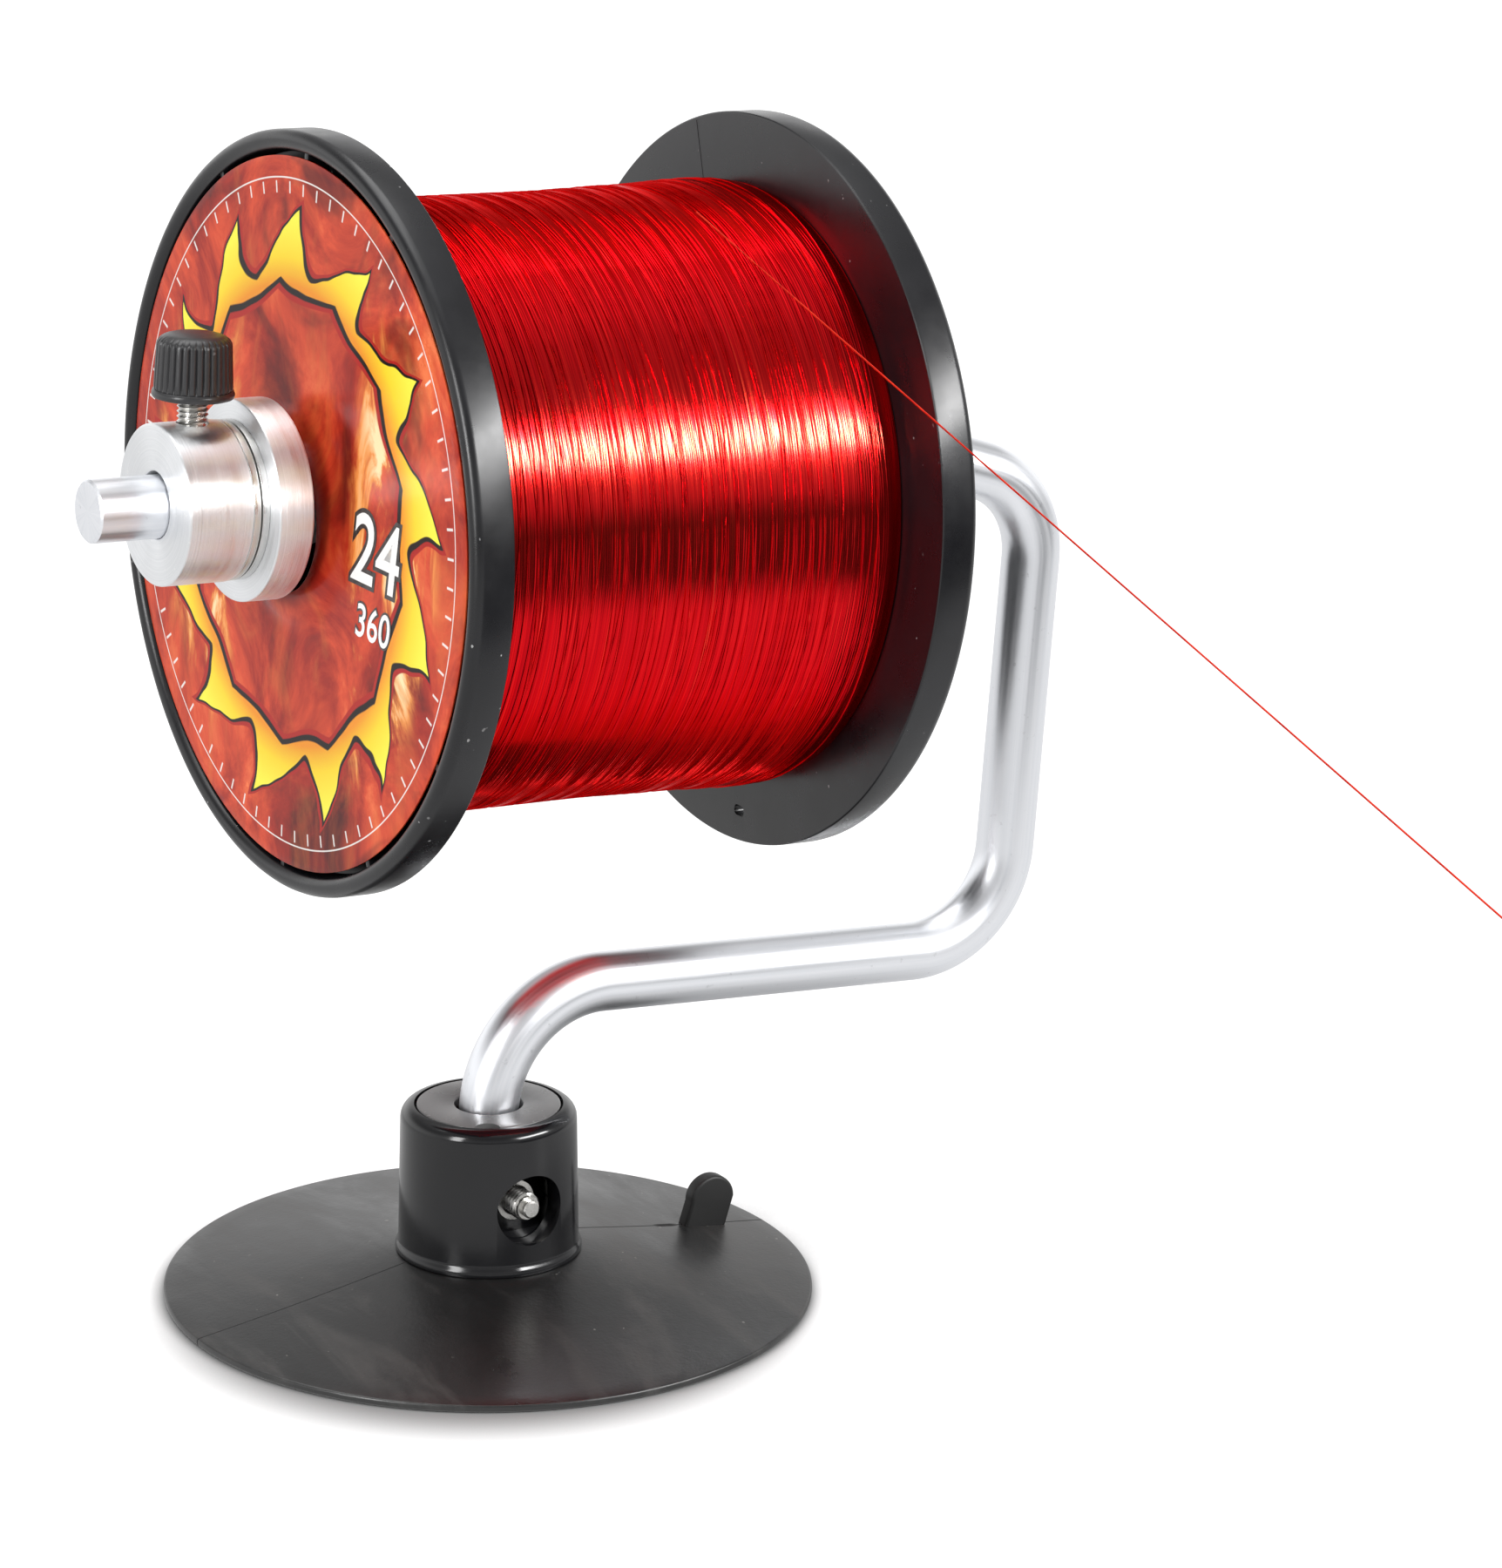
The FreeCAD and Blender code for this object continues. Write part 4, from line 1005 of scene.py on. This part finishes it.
label = {
    "face": -35.4, "thick": 0.3, "hole": 12.0, "rim": 56.6, "lift": 2.0, "liftFrom": 18.6,
    "numerals": [("24", 11.6, -27.6, -0.5), ("360", 5.6, -27.6, -11.6)],  # text, height, side, above
    "letterSize": 1.35, "letterLean": 0.12,
    "letterLayers": [("outline", 0.075, 0.05), ("ink", 0.012, 0.09)],  # finish, swell, lift
}


def filmLift(radius):
    # the loose film stands off the spool towards its hole
    share = min(1.0, max(0.0, (label["liftFrom"] - radius) / (label["liftFrom"] - label["hole"])))
    return label["lift"] * share * share * (3 - 2 * share)


def makeLabel():
    face, back = label["face"], label["face"] + label["thick"]
    profile = [(face, label["hole"]), (back, label["hole"]), (back, label["rim"]), (face, label["rim"])]
    profile = filled(eased(profile, 0.08, steps=2), 20, 36)
    full = [(along - filmLift(radius), radius) for along, radius in profile]
    mesh = turnedMesh(full, onSpool, count=256)
    addPiece("labelFilm", mesh, "label", "spool", ["front_label"])
    for number, numeral in enumerate(label["numerals"]):
        for layer in label["letterLayers"]:
            makeNumeral("numeral%d%s" % (number, layer[0]), *numeral, *layer)
    print("label made")


def makeNumeral(name, text, tall, side, above, finish, swell, lift):
    data = bpy.data.curves.new(name, "FONT")
    data.body = text
    data.align_x = "CENTER"
    data.align_y = "CENTER"
    data.size = label["letterSize"]
    data.shear = label["letterLean"]
    data.offset = swell
    data.resolution_u = 6
    helper = newObject(name, data)
    mesh = evaluatedMesh(helper)
    bpy.data.objects.remove(helper)
    for corner in mesh.vertices:
        far, high = side - corner.co.x * tall, above + corner.co.y * tall
        corner.co = onSpool(label["face"] - filmLift(math.hypot(far, high)) - lift, far, high)
    addPiece(name, mesh, finish, "spool")


winding = {
    "front": -29.15, "rear": 47.2, "core": 45.1, "strand": 0.40, "deep": 0.06, "around": 180, "perStrand": 4,
    "radii": [(0.0, 49.2), (0.12, 49.05), (0.5, 49.0), (0.72, 49.4), (0.9, 49.95), (0.96, 49.8), (1.0, 49.0)],
    "uneven": 0.028, "waves": 26, "drift": 0.30, "seed": 11,
    "endFade": 40,  # the strands lie even within one fortieth of the width from either end
    "looseTurns": 70, "looseSteps": 90, "looseThick": 0.15, "looseLift": 0.05, "looseMargin": 0.3,
}


def windingRadius(share):
    stops = winding["radii"]
    for (low, first), (high, last) in zip(stops, stops[1:]):
        if share <= high:
            part = (share - low) / (high - low)
            part = part * part * (3 - 2 * part)
            return first + (last - first) * part
    return stops[-1][1]


def makeWinding():
    dice = random.Random(winding["seed"])
    front, strand, angles = winding["front"], winding["strand"], turnsOf(winding["around"])
    width = winding["rear"] - front
    strands = int(width / strand)
    waves = []
    for _ in range(winding["waves"]):
        waves.append((dice.uniform(0.02, 0.9), dice.choice([1, 2, 3, 4, 5, 7]), dice.uniform(0, 6.28),
                      dice.uniform(0, 6.28), dice.uniform(0.25, 1.0)))
    strandLift = [dice.uniform(-winding["uneven"], winding["uneven"]) for _ in range(strands + 2)]

    def drift(along, turn):
        total = 0.0
        for rate, fold, phase, start, size in waves:
            total += size * math.sin(along * rate + phase) * math.sin(fold * turn + start) / (1 + 0.5 * fold)
        return total * winding["drift"]

    rows, lengths = [ringOf(onSpool, front, winding["core"], angles)], [0.0]
    steps = strands * winding["perStrand"]
    for step in range(steps + 1):
        share = step / steps
        along = front + width * share
        fade = min(1.0, share * winding["endFade"], (1 - share) * winding["endFade"])
        row = []
        for turn in angles:
            phase = ((along - front) + drift(along, turn) * fade) / strand
            lift = strandLift[int(phase) % len(strandLift)]
            ridge = math.sqrt(max(0.0, 1 - (2 * (phase % 1) - 1) ** 2))
            radius = windingRadius(share) + winding["deep"] * (ridge - 1) + lift * fade * ridge
            row.append(onSpool(along, radius * math.sin(turn), radius * math.cos(turn)))
        rows.append(row)
        lengths.append((along - front) * mm)
    rows.append(ringOf(onSpool, winding["rear"], winding["core"], angles))
    lengths.append(width * mm)
    mesh = skinRows(rows, lengths, True)
    addPiece("woundLine", mesh, "wound", "spool", ["line_winding"], sharp=180)
    makeLooseTurns(dice, width)
    print("winding made")


def makeLooseTurns(dice, width):
    # single turns on top of the layer, each lying across its neighbours at a slight angle
    bm = bmesh.new()
    uv = bm.loops.layers.uv.new("turns")
    front, margin = winding["front"], winding["looseMargin"]
    steps, thick = winding["looseSteps"], winding["looseThick"]
    for _ in range(winding["looseTurns"]):
        middle = dice.uniform(0.03, 0.97)
        swing = dice.uniform(0.4, 2.6)
        start = dice.uniform(0, math.tau)
        fold = dice.choice([1, 1, 1, 2])
        rings = []
        for turn in turnsOf(steps):
            along = front + width * middle + swing * math.sin(fold * turn + start)
            along = min(max(along, front + margin), front + width - margin)
            radius = windingRadius((along - front) / width) + winding["looseLift"]
            ring = []
            for angle in turnsOf(4):
                out = radius + thick * math.cos(angle)
                ring.append(bm.verts.new(
                    onSpool(along + thick * math.sin(angle), out * math.sin(turn), out * math.cos(turn))))
            rings.append((ring, along))
        for step in range(steps):
            (near, nearAlong), (far, farAlong) = rings[step], rings[(step + 1) % steps]
            spots = ((step, nearAlong), (step + 1, farAlong), (step + 1, farAlong), (step, nearAlong))
            for corner in range(4):
                after = (corner + 1) % 4
                face = bm.faces.new((near[corner], far[corner], far[after], near[after]))
                for loop, (around, along) in zip(face.loops, spots):
                    loop[uv].uv = (around / steps, (along - front) * mm)
    bmesh.ops.recalc_face_normals(bm, faces=bm.faces)
    addPiece("looseTurns", newMesh(bm), "wound", "spool", sharp=180)


# CAD pieces that keep their shape and only get a finish
keptNodes = {
    "socket_stem": "hub", "cross_screw_washer": "screw", "stem_insert": "screw", "rear_set_screw": "screw",
}


def dressKeptNodes():
    for node, finish in keptNodes.items():
        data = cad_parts[node].data
        data.materials.clear()
        data.materials.append(finishes[finish])
    print("kept nodes dressed")


studio = {
    "ambient": 0.42,
    "lamps": {
        "key": {"place": (0.75, -1.10, 0.76), "aim": (0, 0, 0.14), "size": (1.1, 0.24), "watts": 24},
        "top": {"place": (-0.15, 0.45, 1.5), "aim": (0, 0, 0.1), "size": (1.4, 0.8), "watts": 9},
        "left": {"place": (-1.5, -0.5, 0.7), "aim": (0, 0, 0.12), "size": (0.4, 0.9), "watts": 15},
        # only the wound line catches this one: the line's own warm glitter under the key lamp
        "glitter": {"place": (0.75, -1.10, 0.74), "aim": (0, 0, 0.14), "size": (1.1, 0.08), "watts": 160,
                    "colour": (0.04, 1.0, 0.25), "only": ("woundLine", "looseTurns")},
        # the lathe-turned pieces have a lamp of their own as well
        "sheen": {"place": (-0.75, -1.15, 0.42), "aim": (0, 0, 0.14), "size": (0.8, 0.3), "watts": 9,
                  "only": ("clampCollar", "outerWasher", "innerWasher", "frontAdapter")},
    },
    # what mirrors see of the room, by the sine of the height: in front of the object and behind it
    "front": [(-1, 0.05), (0.0, 0.05), (0.07, 0.3), (0.14, 0.6), (0.3, 0.6), (0.5, 0.4), (0.72, 0.3),
              (0.84, 0.5), (0.9, 0.6), (0.96, 1.4), (1, 1.6)],
    "behind": [(-1, 1.3), (0.26, 1.2), (0.48, 0.35), (0.62, 0.35), (0.8, 0.7), (0.9, 0.9), (1, 1.5)],
    "floorMirrored": 0.80, "floorFar": 0.04, "farFrom": (-0.22, -0.36), "farTurn": 0.3,
    "beam": 0.2, "beamAt": 38, "beamWide": 14,
    "contactReach": 0.05, "contactPower": 3.0, "paperLit": 0.94,
    # round spots on the floor: middle and radii
    "shadowAt": (-0.0075, -0.0095), "shadow": (0.041, 0.0590),
    "shadeAt": (0.04, 0.01), "shade": (0.035, 0.10, 0.5),
}


def addLamp(name, lamp):
    data = bpy.data.lights.new(name, "AREA")
    data.shape = "RECTANGLE"
    data.size, data.size_y = lamp["size"]
    data.energy = lamp["watts"]
    data.color = lamp.get("colour", (1, 1, 1))
    light = newObject(name, data)
    spot, aim = Vector(lamp["place"]), Vector(lamp["aim"])
    light.matrix_world = Matrix.Translation(spot) @ (aim - spot).to_track_quat("-Z", "Y").to_matrix().to_4x4()
    light.visible_camera = False
    if "only" in lamp:
        lit = bpy.data.collections.new(name)
        for piece in lamp["only"]:
            lit.objects.link(bpy.data.objects[piece])
        light.light_linking.receiver_collection = lit


def makeStudio():
    world = bpy.data.worlds.new("studio")
    scene.world = world
    world.use_nodes = True
    tree = world.node_tree
    camera, through, glossy = wires(
        tree, "ShaderNodeLightPath", ["Is Camera Ray", "Is Transmission Ray", "Is Glossy Ray"])
    # the metal and the black pieces mirror a grey room: pale behind the object, dark in front of it
    _, y, z = axesOf(wire(tree, "ShaderNodeTexCoord", "Generated"))
    rise = span(z, -1, 1)
    front, behind = [ramp(rise, [((height + 1) / 2, (grey,) * 3) for height, grey in studio[part]])
                     for part in ("front", "behind")]
    room = blend(ease(y, -0.35, 0.55), front, behind)
    level = blend(glossy, (studio["ambient"],) * 3, room)
    level = blend(mathNode("ADD", camera, through, clamp=True), level, (1, 1, 1))
    feed(tree, tree.nodes["Background"], {"Color": level, "Strength": 1})
    for name, lamp in studio["lamps"].items():
        addLamp(name + "Lamp", lamp)
    makeFloor()
    print("studio made")


def makeFloor():
    bm = bmesh.new()
    bmesh.ops.create_circle(bm, cap_ends=True, segments=64, radius=6)
    floor = newObject("floor", newMesh(bm))
    floor.location.z = -0.0002
    material, tree = newMaterial("floorPaper")
    tree.nodes.clear()
    camera, glossy = wires(tree, "ShaderNodeLightPath", ["Is Camera Ray", "Is Glossy Ray"])
    paper = blend(camera, (0.6, 0.6, 0.6), (0.28, 0.28, 0.28))
    white = wire(tree, "ShaderNodeBsdfDiffuse", 0, {"Color": blend(glossy, paper, (0, 0, 0))})
    near = wire(tree, "ShaderNodeAmbientOcclusion", "AO", {"Distance": studio["contactReach"]}, samples=16)
    x, y, _ = axesOf(place(tree))

    def roundOf(middle):
        return reachOf(x - middle[0], y - middle[1])

    # a soft shadow round the disc, pushed a little away from the brighter side of the room
    soft = ease(roundOf(studio["shadowAt"]), *studio["shadow"])
    seen = mathNode("POWER", near, studio["contactPower"]) * soft * studio["paperLit"]
    # mirrors see a plain grey floor with one brighter beam towards the key lamp
    turn = mathNode("ARCTAN2", x, y * -1)
    aside = abs(turn - math.radians(studio["beamAt"]))
    beam = ease(aside, 0, math.radians(studio["beamWide"]), studio["beam"], 0)
    far = ease(y, *studio["farFrom"]) * ease(turn, 0, studio["farTurn"])
    bright = (beam + studio["floorMirrored"]) * ease(roundOf(studio["shadeAt"]), *studio["shade"])
    mirrored = bright * (1 - far) + studio["floorFar"]
    level = mirrored * glossy + seen * camera
    light = wire(tree, "ShaderNodeEmission", 0, {"Color": (1, 1, 1, 1), "Strength": level})
    both = wire(tree, "ShaderNodeAddShader", 0, {0: white, 1: light})
    wires(tree, "ShaderNodeOutputMaterial", [], {"Surface": both})
    floor.data.materials.append(material)


makeDisc()
makeHub()
makeRod()
makeCrossScrew()
makeThumbScrew()
makeStack()
makeSpoolHalf("spoolFront", -1, "spool_front_half")
makeSpoolHalf("spoolRear", 1, "spool_rear_half")
makeLabel()
makeWinding()
dressKeptNodes()
makeStudio()
